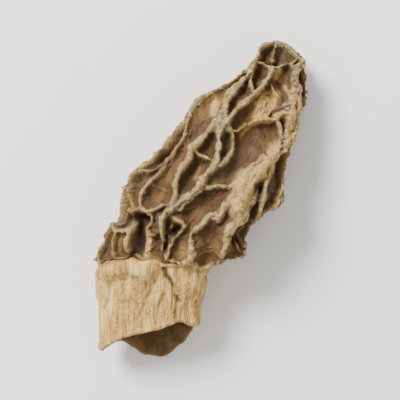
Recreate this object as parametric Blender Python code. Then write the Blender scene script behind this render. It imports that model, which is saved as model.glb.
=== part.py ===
"""A dried yellow morel, picked, cut and lying on its side.

The mushroom grew as one piece, so it is one solid: a long cap whose ribs stand round deep pits, a wide
fibrous stem, and the hollow that runs from the stem's torn end up into the cap. It starts as a sphere
whose rings are drawn out, from the cap's tip down to the stem's end and back up the hollow. A formula then
presses the skin in between the ribs. X runs along the cap to its tip, Y to its left and Z up.
"""

import itertools
import math

import bpy
import numpy as np

# Lengths are in millimetres until the mesh is scaled, and angles in degrees. Stations are measured along
# the cap from its base, which is station 0. Angle 0 of a section is its left side, 90 its top.
MM = 0.001
NAME = "morel"

# The cap's outline as (station, distance): to the left and right of the centre line, and up to its top and
# underside from the floor.
CAP_LENGTH = 52.6
CAP_LEFT = ((-9, 12.6), (-3, 13.6), (1, 14.2), (5, 14.4), (9, 15.4), (13, 14.4), (17, 14.0), (21, 14.2),
            (25, 13.3), (30, 12.4), (35, 10.9), (40, 8.6), (45, 7.2), (49, 7.0), (53, 6.8))
CAP_RIGHT = ((-9, 12.4), (-3, 14.0), (1, 15.6), (5, 15.0), (9, 14.6), (13, 14.2), (17, 13.6), (21, 14.6),
             (25, 13.8), (30, 11.8), (35, 9.9), (40, 8.8), (45, 7.8), (49, 6.4), (53, 6.0))
CAP_TOP = ((-9, 20.4), (-3, 21.8), (4, 24.0), (12, 24.8), (20, 23.6), (27, 21.4), (34, 18.4), (41, 15.4),
           (47, 13.6), (53, 12.6))
CAP_BOTTOM = ((-9, 0.8), (-3, 0.0), (4, -0.4), (12, -0.5), (20, -0.5), (27, -0.5), (34, -0.4), (41, 0.1),
              (47, 0.9), (53, 1.8))
TIP_ROUND = 4.8
TIP_SQUARENESS = 3.6

# The stem's outline in the same way
STEM_LEFT = ((-22, 12.0), (-14, 11.6), (-9, 11.4), (-4, 11.6), (3, 10.5))
STEM_RIGHT = ((-22, 10.4), (-14, 10.2), (-9, 11.2), (-4, 12.0), (3, 10.5))
STEM_TOP = ((-22, 17.2), (-14, 18.2), (-8, 19.2), (-3, 20.4), (3, 20.4))
STEM_BOTTOM = ((-22, 2.6), (-14, 2.2), (-8, 2.0), (-3, 2.4), (3, 3.6))
STEM_WALL = 1.3

# The centre line, and how far each section is turned towards the stem's axis
CENTRE_Y = ((-22, -6.1), (-19, -4.4), (-13, -1.1), (-7, 2.6), (-3, 3.8), (1, 3.0), (5, 1.5), (9, 2.2),
            (13, 2.8), (17, 1.4), (21, -0.4), (25, -0.2), (30, 0.0), (35, -0.8), (40, -1.0), (46, -1.0),
            (53, 0.4))
LEAN = ((-22, 28.0), (-4, 28.0), (2, 16.0), (8, 5.0), (15, 0.0), (53, 0.0))
# The power of the sections' rounding above and below: 2 is an ellipse, and more is squarer.
SQUARENESS = ((-22, 2.5), (-6, 2.6), (3, 3.6), (12, 4.0), (40, 4.0), (53, 3.0))
SQUARENESS_BELOW = 2.4

# The cap's lower margin and the stem's torn end as (angle, station)
MARGIN = ((0, -2.2), (25, -3.2), (45, -2.8), (63, -2.2), (82, -1.6), (108, -3.0), (131, -3.8), (155, -3.6),
          (180, -1.2), (235, 0.4), (300, -1.2), (360, -2.2))
TORN_END = ((0, -19.6), (37, -18.4), (52, -16.9), (66, -16.2), (80, -15.9), (98, -15.7), (115, -14.9),
            (126, -14.7), (140, -15.0), (156, -15.4), (180, -15.2), (205, -15.8), (228, -18.4),
            (256, -21.0), (277, -20.7), (305, -18.0), (335, -18.8), (360, -19.6))

# Ribs of the upper side as ((drop below the skin at the first and the last point), half-width, (x, y),
# (x, y), ...), seen from above
RIBS = (
    # the tip's rim and the net just below it
    ((-0.4, -0.4), 0.4, (45.1, 5.1), (46.8, 4.9), (49.1, 5.0), (51.0, 3.7), (52.4, 1.4), (52.2, -0.9),
     (51.3, -3.1), (50.7, -4.9)),
    ((0.5, 0.5), 0.35, (51.5, 2.5), (49.3, 2.0), (47.0, 1.4), (46.2, 1.1)),
    ((0.3, 0.3), 0.4, (45.1, 5.1), (46.0, 3.9), (46.0, 2.2), (46.3, 0.8), (47.3, -0.3), (48.4, -0.9),
     (49.0, -2.3), (50.7, -3.4)),
    ((0.2, 0.2), 0.5, (49.0, -2.3), (47.7, -3.9), (45.9, -4.7), (43.6, -5.2), (41.5, -5.6),
     (40.0, -5.3)),
    ((0.6, 1.6), 0.25, (46.2, 1.1), (44.0, 0.3), (42.3, -1.5), (41.1, -3.4), (40.0, -5.3)),
    ((0.3, 0.3), 0.4, (45.1, 5.1), (43.0, 5.0), (41.4, 4.5), (40.1, 3.0), (38.6, 2.0)),
    # the main rib, from the tip to the margin
    ((-0.5, -0.5), 0.5, (46.3, 0.8), (43.8, 0.4), (41.3, 0.8), (38.6, 1.6), (36.2, 3.0), (33.3, 4.1),
     (31.0, 4.8), (29.5, 4.8), (27.8, 4.4), (25.4, 3.4), (22.6, 2.6), (19.3, 3.1), (15.0, 3.4),
     (12.1, 5.2), (9.8, 5.7), (7.5, 6.3), (5.5, 5.7), (3.6, 4.1), (1.5, 2.4), (-0.5, 1.0)),
    # the second rib to its left
    ((0.0, 0.0), 0.6, (45.1, 5.1), (42.6, 5.5), (38.9, 6.0), (35.2, 6.2), (32.4, 5.9), (30.0, 6.1),
     (25.6, 7.2), (22.4, 8.1)),
    ((0.0, 0.0), 0.5, (22.4, 8.1), (19.9, 7.6), (17.1, 8.1), (14.7, 8.3), (12.4, 7.4), (10.0, 6.8),
     (7.5, 6.3)),
    # the left side
    ((0.0, 0.0), 0.5, (42.6, 5.5), (42.3, 7.8), (38.4, 8.0), (34.9, 10.3), (31.3, 12.1), (29.0, 13.2),
     (22.4, 13.7), (17.6, 14.7), (14.4, 16.0), (12.1, 17.5), (9.4, 17.8), (7.3, 16.8)),
    ((0.2, 0.6), 0.3, (28.0, 12.6), (26.3, 12.3), (24.6, 11.3), (22.9, 10.4), (21.0, 10.9),
     (18.5, 12.1), (16.4, 13.1), (14.3, 14.4), (13.1, 16.2), (11.9, 17.4)),
    ((0.4, 0.4), 0.4, (20.5, 11.2), (16.7, 11.7), (15.2, 12.4), (11.9, 13.2), (9.0, 13.7), (6.8, 12.7),
     (5.8, 11.3), (6.4, 9.2), (8.0, 8.1), (9.4, 6.7)),
    ((0.8, 1.6), 0.3, (11.0, 13.1), (11.6, 10.4), (12.0, 8.0)),
    ((0.8, 0.8), 0.4, (7.3, 16.8), (6.0, 15.3), (5.2, 13.8), (5.7, 12.1)),
    # cross ribs of the middle
    ((0.8, 3.6), 0.2, (33.9, 6.5), (34.5, 4.8), (34.7, 3.0)),
    ((0.3, 0.3), 0.4, (22.4, 8.1), (22.0, 5.9), (22.3, 4.0), (22.7, 2.7)),
    ((0.2, 0.2), 0.45, (30.1, 4.9), (30.0, 3.5), (30.4, 1.8), (31.7, 0.6), (33.5, -0.7), (34.9, -2.2),
     (35.9, -3.8), (37.0, -4.9), (38.8, -6.2), (39.6, -7.7)),
    ((0.4, 1.2), 0.25, (40.0, -5.3), (38.7, -4.3), (37.0, -3.2), (35.9, -3.8)),
    ((0.0, 0.0), 0.5, (30.0, 3.5), (29.5, 2.0), (28.0, 1.0), (25.5, 0.7), (23.3, 1.3), (21.4, 2.0),
     (19.3, 3.1)),
    ((3.8, 2.6), 0.4, (25.2, -0.2), (25.5, -1.9), (24.6, -3.7)),
    ((1.0, 4.4), 0.25, (33.5, -2.6), (31.3, -4.9), (29.4, -5.5), (27.8, -6.8)),
    ((0.0, 0.0), 0.6, (36.7, -5.0), (36.0, -6.7), (33.6, -7.9), (31.1, -8.0), (28.5, -7.5),
     (26.8, -6.5), (25.6, -4.9), (24.4, -4.4)),
    ((0.2, 0.2), 0.4, (21.1, -3.6), (19.4, -2.5), (17.7, 0.1), (16.5, 1.7), (14.7, 3.0), (11.8, 4.3),
     (9.2, 4.7)),
    # the broad rough ribs of the right side
    ((0.0, 0.0), 0.7, (50.7, -4.9), (47.6, -4.3), (44.6, -5.8), (42.8, -7.4), (40.4, -9.2),
     (38.0, -10.3), (35.8, -10.5), (33.7, -10.4), (32.0, -9.8), (29.9, -8.6)),
    ((0.2, 0.2), 0.7, (42.9, -5.5), (40.6, -6.7), (38.4, -8.3), (35.7, -8.9), (33.3, -8.7)),
    ((0.6, 0.6), 0.4, (50.7, -4.9), (48.6, -6.2), (46.6, -8.1), (44.2, -8.6), (42.3, -7.9)),
    ((-0.6, -0.6), 1.5, (30.0, -8.9), (26.6, -7.8), (23.6, -6.0), (21.0, -4.7), (18.9, -5.8),
     (16.6, -6.0)),
    ((-0.2, -0.2), 1.2, (16.0, -6.9), (14.9, -8.7), (12.6, -8.1), (11.1, -7.2)),
    ((0.2, 0.2), 0.4, (31.9, -10.2), (29.0, -9.5), (26.3, -9.3), (23.2, -10.1), (19.4, -11.3),
     (15.6, -12.2)),
    ((0.0, 0.0), 0.4, (34.1, -10.6), (30.5, -11.5), (27.5, -12.8), (25.1, -14.1), (21.9, -14.3),
     (18.5, -14.0), (15.6, -12.2)),
    # above the margin
    ((0.0, 0.0), 0.55, (18.1, -4.2), (15.3, -3.7), (12.6, -3.6), (10.7, -2.1), (8.6, -1.3),
     (6.3, -0.9), (3.8, -2.0), (1.8, -2.8), (-0.1, -2.3)),
    ((1.2, 3.4), 0.25, (9.7, 3.9), (11.2, 1.7), (11.8, -1.0)),
    ((0.4, 0.4), 0.35, (7.4, 5.0), (7.3, 3.1), (6.7, 1.2), (5.5, 1.0), (3.7, 1.6), (1.7, 1.9),
     (-0.4, 0.8)),
    ((0.2, 0.2), 0.4, (-0.7, 0.9), (-0.3, -1.9), (0.7, -3.4), (0.3, -6.7), (0.9, -9.3), (2.7, -11.4),
     (5.1, -13.1), (7.3, -13.7), (8.6, -12.9)),
    ((0.1, 0.1), 0.6, (11.1, -7.2), (8.3, -7.5), (5.5, -8.0), (3.0, -8.2), (0.8, -7.6)),
    ((1.2, 3.0), 0.25, (5.2, -2.3), (4.8, -4.3), (4.0, -6.2)),
    ((1.2, 1.2), 0.5, (13.2, -10.1), (10.7, -10.2), (8.7, -12.0), (7.4, -13.5)),
    # round the small holes, and the lobe at the left
    ((0.8, 0.8), 0.3, (4.1, 12.0), (5.1, 10.8), (5.5, 9.0), (5.1, 8.0), (3.9, 8.5), (2.5, 8.5)),
    ((0.8, 0.8), 0.3, (5.1, 8.0), (5.9, 6.9), (5.5, 5.7)),
    ((1.0, 1.0), 0.35, (4.0, 5.2), (2.2, 6.8), (1.8, 8.4), (-0.1, 7.8), (-2.1, 5.8)),
    ((0.8, 0.8), 0.35, (4.0, 5.2), (2.2, 3.9), (-0.1, 2.5)),
    ((1.0, 1.0), 0.35, (0.4, 15.8), (3.8, 14.9), (4.8, 12.4)),
    ((0.4, 0.4), 0.4, (0.4, 15.8), (-1.9, 16.3), (-4.8, 16.1), (-7.4, 15.4), (-9.2, 14.4)),
    ((1.0, 1.0), 0.35, (0.1, 14.4), (-2.2, 14.0), (-4.6, 12.9), (-6.7, 11.2)),
    ((0.8, 0.8), 0.35, (2.0, 11.5), (0.6, 11.6), (-1.9, 10.6), (-4.9, 8.6)),
    ((0.9, 0.9), 0.35, (0.4, 15.8), (0.1, 14.4), (0.9, 12.8), (2.0, 11.5), (3.5, 11.4)),
    ((0.5, 0.5), 0.35, (-9.2, 14.4), (-8.0, 13.1), (-6.7, 11.2), (-4.9, 8.6), (-4.4, 7.2)),
)

# The net goes on round the underside: ribs that run lengthwise, as (angle, first and last station), and
# cross ribs between them.
SIDE_ANGLES = (150.0, 388.0)
LONG_RIBS = ((176.0, 1.0, 43.0), (203.0, 0.0, 52.5), (231.0, 0.5, 31.0), (256.0, 0.5, 52.5),
             (284.0, 0.0, 33.0), (310.0, -0.8, 52.5), (337.0, -1.4, 36.0), (363.0, -1.0, 44.0))
# The pits below the tip's rim are shallower: from this station on, below these heights.
NOSE = (46.0, 49.0)
NOSE_HEIGHT = (8.0, 10.0)
NOSE_DEPTH = 2.0
LONG_RIB_SWAY = 6.0
SWAY_RUN = 6.5
CROSS_RIB_STEP = 8.5
CROSS_RIB_JITTER = 1.4
CROSS_RIB_SLANT = 2.5
LONG_DROP = (0.3, 0.3)
LONG_HALF = 0.45
CROSS_DROP = (0.8, 0.8)
CROSS_HALF = 0.35
SEED = 7
# Among places this near to a rib's own, seen from above, the rib takes the highest.
NEAR_ENOUGH = 0.35
LINE_STEP = 0.6
# No rib is felt further away than this.
REACH = 7.0

# How the flesh falls from the ribs
PIT_DEPTH = 5.0
WALL_RUN = 0.5
RIB_EDGE = 8.0
# How far the pits of the upper side are pressed down rather than inwards
UPWARD = 0.6
PIT_JOIN = 0.5
LEAST_FLESH = 1.2
LEAST_LIMIT = 0.15
MARGIN_REACH = 0.6
MARGIN_GROWTH = 1.3
MARGIN_ROUND = 2.2
MARGIN_LIP = 0.6

# Places where the pits are deeper (or shallower) than most, as (x, y, reach, extra depth)
DEEP_PLACES = ((16.2, 6.9, 3.5, 1.2), (26.9, 2.0, 2.0, 1.2), (34.1, -6.0, 2.5, 0.5), (29.2, -3.0, 2.5, 0.4),
               (30.2, 9.3, 4.5, -1.2), (47.2, -2.8, 1.5, 0.5), (24.9, 6.4, 2.0, 0.6), (20.3, 1.0, 3.0, 0.6),
               (14.8, 0.1, 3.0, 0.6), (23.9, -11.4, 3.5, -0.8), (5.0, -11.0, 4.0, -1.6),
               (43.0, 2.6, 2.0, 0.3), (44.5, -5.6, 2.6, -3.0), (38.0, -8.0, 2.2, -2.0))
# Narrow furrows as (depth, half-width, (x, y), (x, y), ...)
FURROWS = (
    (5.0, 1.0, (3.6, 11.6), (1.8, 9.7), (-0.1, 8.3), (-2.6, 7.3), (-4.0, 7.2)),
    (3.2, 0.55, (6.2, 5.3), (4.9, 4.5), (2.6, 3.1), (0.2, 2.0)),
    (4.0, 0.8, (4.4, 10.4), (4.0, 9.3)),
    (4.0, 0.8, (5.2, 1.8), (4.4, 2.2)),
    (2.0, 0.9, (21.9, -9.9), (18.7, -10.2), (15.4, -11.1)),
    (2.0, 0.6, (13.5, -5.2), (11.3, -4.9)),
    (1.4, 0.4, (40.1, 8.1), (38.4, 8.3)),
    (1.6, 0.4, (46.4, 2.4), (47.3, 0.2)),
    (4.0, 1.0, (11.6, -9.6), (10.4, -10.0)),
)
# Swellings of the whole body as (x, y, reach along x, reach along y, height)
SWELLS = ((-2.0, 13.0, 4.5, 3.0, 1.0), (24.0, -6.0, 7.0, 3.0, 0.9), (14.0, -7.0, 4.0, 3.0, 0.6),
          (26.0, 3.6, 12.0, 2.6, 0.5))

# Bulges and creases of the stem in the same way
STEM_BULGES = ((-4.4, 4.8, 2.4, 3.0, 2.0), (-7.3, 10.8, 2.2, 2.4, 1.2), (-3.2, -4.6, 3.2, 2.8, 1.4),
               (-12.0, -9.8, 2.2, 2.2, 1.0), (-14.5, -2.4, 3.4, 2.2, -0.7), (-7.4, -4.5, 0.6, 0.6, -0.9))
STEM_CREASES = ((1.5, 0.6, (-0.6, 1.5), (-2.8, 0.9), (-4.5, -1.2), (-5.2, -2.5)),)
FURROW_HEIGHT = 0.5
FURROW_SIZE = (7.0, 1.7, 1.7)
UNEVEN_HEIGHT = 0.5
UNEVEN_SIZE = 7.0

# The hollow's share of the cap's section, where it ends, and the stations where the stem's bore meets it
HOLLOW_SHARE = 0.5
HOLLOW_END = 37.0
HOLLOW_ROUND = 9.0
HOLLOW_BLEND = (-6.0, 4.0)

# Shares of the starting sphere's rings, from the tip round to the hollow's end
RINGS = 380
SEGMENTS = 300
CAP_SHARE = 0.62
TUCK_SHARE = 0.66
STEM_SHARE = 0.82
LIP_SHARE = 0.85
TUCK = -0.35

# The solid's finish
MOST_TRIANGLES = 11400
FLOOR_TRIM = 0.85
SLAB_SIZE = 200.0


def share_of(low, high, values):
    """How far each value has come from low to high, eased in and out."""
    part = np.clip((values - low) / (high - low), 0.0, 1.0)
    return part * part * (3.0 - 2.0 * part)


def curve(points, places):
    """The smooth curve through (place, value) points, read at each place."""
    at, value = np.array(points, float).T
    slope = np.gradient(value, at)
    left = np.clip(np.searchsorted(at, places) - 1, 0, len(at) - 2)
    run = at[left + 1] - at[left]
    u = np.clip((places - at[left]) / run, 0.0, 1.0)
    start = value[left] * (1 + 2 * u) * (1 - u) ** 2 + slope[left] * run * u * (1 - u) ** 2
    end = value[left + 1] * u * u * (3 - 2 * u) + slope[left + 1] * run * u * u * (u - 1)
    return start + end


def noise(points, wavelength, seed):
    """Smooth random values from -1 to 1 at each point, the same in every run."""
    place = points / np.asarray(wavelength, float)
    cell = np.floor(place).astype(np.int64)
    part = place - cell
    part = part ** 3 * (part * (part * 6 - 15) + 10)
    total = np.zeros(len(points))
    for corner in itertools.product((0, 1), repeat=3):
        x, y, z = (cell + np.array(corner)).T
        mixed = (x * 73856093) ^ (y * 19349663) ^ (z * 83492791) ^ (seed * 40503)
        mixed = ((mixed ^ (mixed >> 13)) * 1274126177) & 0x7FFFFFFF
        mixed = (mixed ^ (mixed >> 15)) & 0xFFFF
        weight = np.prod(np.where(corner, part, 1 - part), axis=1)
        total += weight * (mixed / 32767.5 - 1)
    return total


def noise_vectors(points, wavelength, seed):
    """Three smooth random values at each point."""
    return np.column_stack([noise(points, wavelength, seed + k) for k in range(3)])


def domed(past):
    """The share of a section that is left this far along a rounded end, from 1 to 0."""
    return (1.0 - np.clip(past, 0.0, 1.0) ** TIP_SQUARENESS) ** (1 / TIP_SQUARENESS)


def cap_section(at):
    """The cap's reach to its left and right, its top and its underside at each station."""
    dome = domed((at - CAP_LENGTH + TIP_ROUND) / TIP_ROUND)
    return shrunk(np.stack([curve(side, at) for side in (CAP_LEFT, CAP_RIGHT, CAP_TOP, CAP_BOTTOM)]), dome)


def stem_section(at):
    """The same four of the stem."""
    return np.stack([curve(side, at) for side in (STEM_LEFT, STEM_RIGHT, STEM_TOP, STEM_BOTTOM)])


def hollow_section(at):
    """The same four of the hollow: the stem's bore, which narrows into the cap."""
    bore = stem_section(at) + np.array([[-STEM_WALL], [-STEM_WALL], [-STEM_WALL], [STEM_WALL]])
    in_cap = share_of(*HOLLOW_BLEND, at)
    dome = domed((at - HOLLOW_END + HOLLOW_ROUND) / HOLLOW_ROUND)
    return shrunk(bore * (1 - in_cap) + shrunk(cap_section(at), HOLLOW_SHARE) * in_cap, dome)


def rounded_under(cap, stem, above):
    """The cap's sections, drawn in towards the stem just above the margin."""
    rise = 1 - np.clip(above / MARGIN_ROUND, 0, 1)
    brim = stem + (cap - stem) * MARGIN_LIP
    return brim + (cap - brim) * np.sqrt(1 - rise ** 2)


def shrunk(section, share):
    """A section shrunk to this share round its middle."""
    left, right, top, bottom = section
    middle = (top + bottom) / 2
    return np.stack([left * share, right * share, middle + (top - middle) * share,
                     middle + (bottom - middle) * share])


def on_section(at, angles, section):
    """Points at these angles round the sections at these stations."""
    left, right, top, bottom = section
    lean = np.radians(curve(LEAN, at))
    cos, sin = np.cos(angles), np.sin(angles)
    power = np.where(sin > 0, curve(SQUARENESS, at), SQUARENESS_BELOW)
    out = (np.abs(cos) ** power + np.abs(sin) ** power) ** (-1 / power)
    side = np.where(cos > 0, left, right) * cos * out
    return np.column_stack((
        at - side * np.sin(lean),
        curve(CENTRE_Y, at) + side * np.cos(lean),
        (top + bottom) / 2 + (top - bottom) / 2 * sin * out,
    ))


def bare_body(rings, angles):
    """The body before the pits, with each vertex's station and masks of its parts."""
    degrees = np.degrees(angles) % 360
    margin = curve(MARGIN, degrees)
    torn = curve(TORN_END, degrees)
    f = rings / CAP_SHARE
    cap_at = CAP_LENGTH - (CAP_LENGTH - margin) * f * f * 1.08 / (f + 0.08)
    tucked = np.clip((rings - CAP_SHARE) / (TUCK_SHARE - CAP_SHARE), 0, 1)
    stem_at = margin + TUCK - (margin + TUCK - torn) * (rings - TUCK_SHARE) / (STEM_SHARE - TUCK_SHARE)
    lip = np.clip((rings - STEM_SHARE) / (LIP_SHARE - STEM_SHARE), 0, 1)
    inner = np.clip((rings - LIP_SHARE) / (1 - LIP_SHARE), 0, 1)
    inner_at = torn + (HOLLOW_END - torn) * inner * (1 + 0.25 * (1 - inner))

    masks = (rings <= CAP_SHARE, rings <= TUCK_SHARE, rings <= STEM_SHARE, rings <= LIP_SHARE)
    stations = (cap_at, margin + TUCK * tucked, stem_at, torn - 0.5 * np.sin(np.pi * lip))
    at = np.select(masks, stations, inner_at)
    stem, hollow = stem_section(at), hollow_section(at)
    cap = rounded_under(cap_section(at), stem, at - margin)
    rim = stem + (hollow - stem) * lip
    section = np.select(masks, (cap, cap + (stem - cap) * tucked, stem, rim), hollow)
    return on_section(at, angles, section), at, masks


def outward(points, counts):
    """Each vertex's normal on the bare body, from its neighbours along and round it."""
    grid = points.reshape(*counts, 3)
    along = np.gradient(grid, axis=0)
    across = (np.roll(grid, -1, axis=1) - np.roll(grid, 1, axis=1)) / 2
    normal = np.cross(along, across)
    length = np.linalg.norm(normal, axis=2, keepdims=True)
    return (normal / np.maximum(length, 1e-9)).reshape(-1, 3)


def smooth_line(points):
    """The points of a smooth curve through these, LINE_STEP apart or nearer."""
    points = np.array(points, float)
    along = np.append(0, np.cumsum(np.linalg.norm(np.diff(points, axis=0), axis=1)))
    places = np.linspace(0, along[-1], int(np.ceil(along[-1] / LINE_STEP)) + 1)
    return np.column_stack([curve(np.column_stack((along, side)), places) for side in points.T])


def laid_on(skin, at, line):
    """The smooth line through these (x, y) points, laid on the skin's upper side."""
    upper = skin[skin[:, 2] >= (curve(CAP_TOP, at) + curve(CAP_BOTTOM, at)) / 2]
    laid = []
    for x, y in line:
        apart = np.hypot(upper[:, 0] - x, upper[:, 1] - y)
        near = upper[apart < apart.min() + NEAR_ENOUGH]
        laid.append(near[np.argmax(near[:, 2])])
    return smooth_line(laid)


def underside_ribs():
    """The ribs of the sides and the underside: long ones, cross ribs between them, and the margin's rim."""
    draw = np.random.default_rng(SEED)
    ribs = []
    rows = [(SIDE_ANGLES[0], 0.0, CAP_LENGTH)] + list(LONG_RIBS) + [(SIDE_ANGLES[1], 0.0, CAP_LENGTH)]
    phases = draw.uniform(0, math.tau, len(rows))
    inner = range(1, len(rows) - 1)

    def place(row, station):
        sway = LONG_RIB_SWAY * math.sin(station / SWAY_RUN + phases[row]) if row in inner else 0.0
        at = np.array([station])
        return on_section(at, np.radians([rows[row][0] + sway]), cap_section(at))[0]

    for row in inner:
        stations = np.linspace(rows[row][1], rows[row][2], int(rows[row][2] / 2))
        ribs.append((LONG_DROP, LONG_HALF, smooth_line([place(row, s) for s in stations])))
    for row in range(len(rows) - 1):
        station = 3.0 + CROSS_RIB_STEP * (0.5 * (row % 2)) + draw.uniform(0, CROSS_RIB_JITTER)
        while station < min(rows[row][2], rows[row + 1][2]) + 1:
            other = station + draw.uniform(-1, 1) * CROSS_RIB_SLANT
            ends = place(row, station), place(row + 1, other)
            ribs.append((CROSS_DROP, CROSS_HALF, np.array([ends[0], sum(ends) / 2, ends[1]])))
            station += CROSS_RIB_STEP + draw.uniform(-1, 1) * CROSS_RIB_JITTER
    round_it = np.arange(SIDE_ANGLES[0], SIDE_ANGLES[1], 6.0)
    at = curve(MARGIN, round_it % 360) + 0.3
    ribs.append((LONG_DROP, LONG_HALF, on_section(at, np.radians(round_it), cap_section(at))))
    return ribs


def distance_to(points, line):
    """Each point's distance to a line through several places, and how far along it from 0 to 1."""
    nearest = np.full(len(points), 1e3)
    along = np.zeros(len(points))
    inside = (points > line.min(axis=0) - REACH) & (points < line.max(axis=0) + REACH)
    close = np.flatnonzero(inside.all(axis=1))
    near = points[close]
    for k, (start, end) in enumerate(zip(line[:-1], line[1:])):
        run = end - start
        part = np.clip((near - start) @ run / max(run @ run, 1e-9), 0, 1)
        off = np.linalg.norm(near - start - part[:, None] * run, axis=1)
        better = off < nearest[close]
        nearest[close[better]] = off[better]
        along[close[better]] = (k + part[better]) / (len(line) - 1)
    return nearest, along


def swell(points, places):
    """How far these bulges raise each point, on the upper side only."""
    height = np.zeros(len(points))
    for x, y, long, wide, high in places:
        height += high * np.exp(-((points[:, 0] - x) / long) ** 2 - ((points[:, 1] - y) / wide) ** 2)
    return height * share_of(6.0, 12.0, points[:, 2])


def pit_depths(skin, at, angles):
    """How far each point of the cap's skin is pressed in: 0 on a rib, most on a pit's floor."""
    bent = skin + 0.5 * noise_vectors(skin, 6.0, 11) + 0.22 * noise_vectors(skin, 2.2, 14)
    ribs = [(drop, half, laid_on(skin, at, line)) for drop, half, *line in RIBS] + underside_ribs()
    deepest = PIT_DEPTH + 0.5 * noise(skin, 6.0, 17)
    for x, y, reach, extra in DEEP_PLACES:
        apart = np.hypot(skin[:, 0] - x, skin[:, 1] - y) / reach
        deepest += extra * np.exp(-apart ** 2) * share_of(5.0, 9.0, skin[:, 2])
    nose = share_of(*NOSE, at) * (1 - share_of(*NOSE_HEIGHT, skin[:, 2]))
    deepest += (NOSE_DEPTH - deepest) * nose
    nearest = np.full(len(skin), 1e3)
    second = nearest.copy()
    for (first, last), half, line in ribs:
        off, along = distance_to(bent, line)
        off = np.logaddexp(0.0, (off - half) * RIB_EDGE) / RIB_EDGE
        fall = first + (last - first) * along + deepest * (1 - np.exp(-off / WALL_RUN))
        second = np.minimum(second, np.maximum(nearest, fall))
        nearest = np.minimum(nearest, fall)
    blend = np.clip(1 - (second - nearest) / PIT_JOIN, 0, 1)
    depth = nearest - PIT_JOIN * blend * blend / 4
    over_hollow = np.linalg.norm(skin - on_section(at, angles, hollow_section(at)), axis=1) - LEAST_FLESH
    over_stem = np.linalg.norm(skin - on_section(at, angles, stem_section(at)), axis=1)
    above_margin = at - curve(MARGIN, np.degrees(angles) % 360)
    over_stem += MARGIN_GROWTH * np.clip(above_margin - MARGIN_REACH, 0, None)
    depth = held_to(depth, np.maximum(np.minimum(over_hollow, over_stem), LEAST_LIMIT))
    for deep, half, *line in FURROWS:
        depth += deep * np.exp(-(distance_to(skin, laid_on(skin, at, line))[0] / half) ** 2)
    return held_to(depth, np.maximum(over_hollow, LEAST_LIMIT))


def held_to(depth, limit):
    """The depth, eased to stay under this limit."""
    positive = np.maximum(depth, 0)
    return np.where(depth > 0, positive / (1 + (positive / limit) ** 4) ** 0.25, depth)


def stem_relief(points):
    """How far the stem's skin stands out: bulges, creases and lengthwise furrows."""
    height = swell(points, STEM_BULGES)
    for deep, half, *line in STEM_CREASES:
        flat = np.column_stack((points[:, :2], np.zeros(len(points))))
        off = distance_to(flat, np.array([(x, y, 0.0) for x, y in line]))[0]
        height -= deep * np.exp(-(off / half) ** 2) * share_of(10.0, 14.0, points[:, 2])
    turned = points @ rotation_z(math.radians(-LEAN[0][1])).T
    height += FURROW_HEIGHT * noise(turned, FURROW_SIZE, 31)
    return height + UNEVEN_HEIGHT * noise(points, UNEVEN_SIZE, 32)


def rotation_z(angle):
    """A turn round Z."""
    cos, sin = math.cos(angle), math.sin(angle)
    return np.array([(cos, -sin, 0), (sin, cos, 0), (0, 0, 1)])


def formed(rings, angles, counts):
    """The whole mushroom's vertices, in millimetres."""
    body, at, masks = bare_body(rings, angles)
    normal = outward(body, counts)
    in_cap = masks[0]
    tucked = masks[1] & ~in_cap
    in_stem = masks[3] & ~masks[1]
    push = np.zeros(len(body))
    push[in_cap] = swell(body[in_cap], SWELLS) - pit_depths(body[in_cap], at[in_cap], angles[in_cap])
    push[in_cap] += 0.35 * noise(body[in_cap], 8.0, 21)
    edge = push.reshape(counts)[int(CAP_SHARE * (counts[0] - 1))]
    fade = 1 - share_of(CAP_SHARE, TUCK_SHARE, rings)
    push[tucked] = (np.tile(edge, (counts[0], 1)).ravel() * fade)[tucked]
    push[in_stem] = stem_relief(body[in_stem]) * share_of(TUCK_SHARE, TUCK_SHARE + 0.006, rings[in_stem])
    upward = UPWARD * share_of(0.0, 0.5, normal[:, 2]) * in_cap
    normal += upward[:, None] * (0, 0, 1)
    normal /= np.maximum(np.linalg.norm(normal, axis=1, keepdims=True), 1e-9)
    shape = body + normal * push[:, None]
    return shape + noise_vectors(shape, 13.0, 41) * (0.7, 0.6, 0.6)


def morel_mesh():
    """The starting sphere, drawn out into the mushroom."""
    bpy.ops.mesh.primitive_uv_sphere_add(segments=SEGMENTS, ring_count=RINGS, radius=1)
    sphere = bpy.context.object
    mesh = sphere.data
    at = np.empty(len(mesh.vertices) * 3)
    mesh.vertices.foreach_get("co", at)
    at = at.reshape(-1, 3)
    ring = np.rint(np.arccos(np.clip(at[:, 2], -1, 1)) / math.pi * RINGS).astype(int)
    turn = np.rint(np.arctan2(at[:, 1], at[:, 0]) / math.tau * SEGMENTS).astype(int) % SEGMENTS
    counts = (RINGS + 1, SEGMENTS)
    shares = np.arange(RINGS + 1) / RINGS
    rings, angles = np.meshgrid(shares, np.arange(SEGMENTS) / SEGMENTS * math.tau, indexing="ij")
    shape = formed(rings.ravel(), angles.ravel(), counts).reshape(*counts, 3)
    placed = shape[ring, turn]
    for pole in (0, RINGS):
        placed[ring == pole] = shape[pole].mean(axis=0)
    mesh.vertices.foreach_set("co", (placed * MM).astype(np.float32).ravel())
    mesh.update()
    return sphere


def flesh():
    """Dry tan mushroom flesh."""
    material = bpy.data.materials.new("dried_flesh")
    material.use_nodes = True
    shader = material.node_tree.nodes["Principled BSDF"]
    shader.inputs["Base Color"].default_value = (0.33, 0.21, 0.11, 1)
    shader.inputs["Roughness"].default_value = 0.85
    shader.inputs["Metallic"].default_value = 0.0
    return material


def floor_slab(cutters):
    """A slab whose top trims the lowest ribs flat, where the mushroom dried against its tray."""
    top = FLOOR_TRIM * MM
    bpy.ops.mesh.primitive_cube_add(size=SLAB_SIZE * MM, location=(0, 0, top - SLAB_SIZE * MM / 2))
    slab = bpy.context.object
    slab.name = "floor_slab"
    slab.hide_render = True
    slab.display_type = "WIRE"
    move_to(slab, cutters)
    return slab


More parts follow.
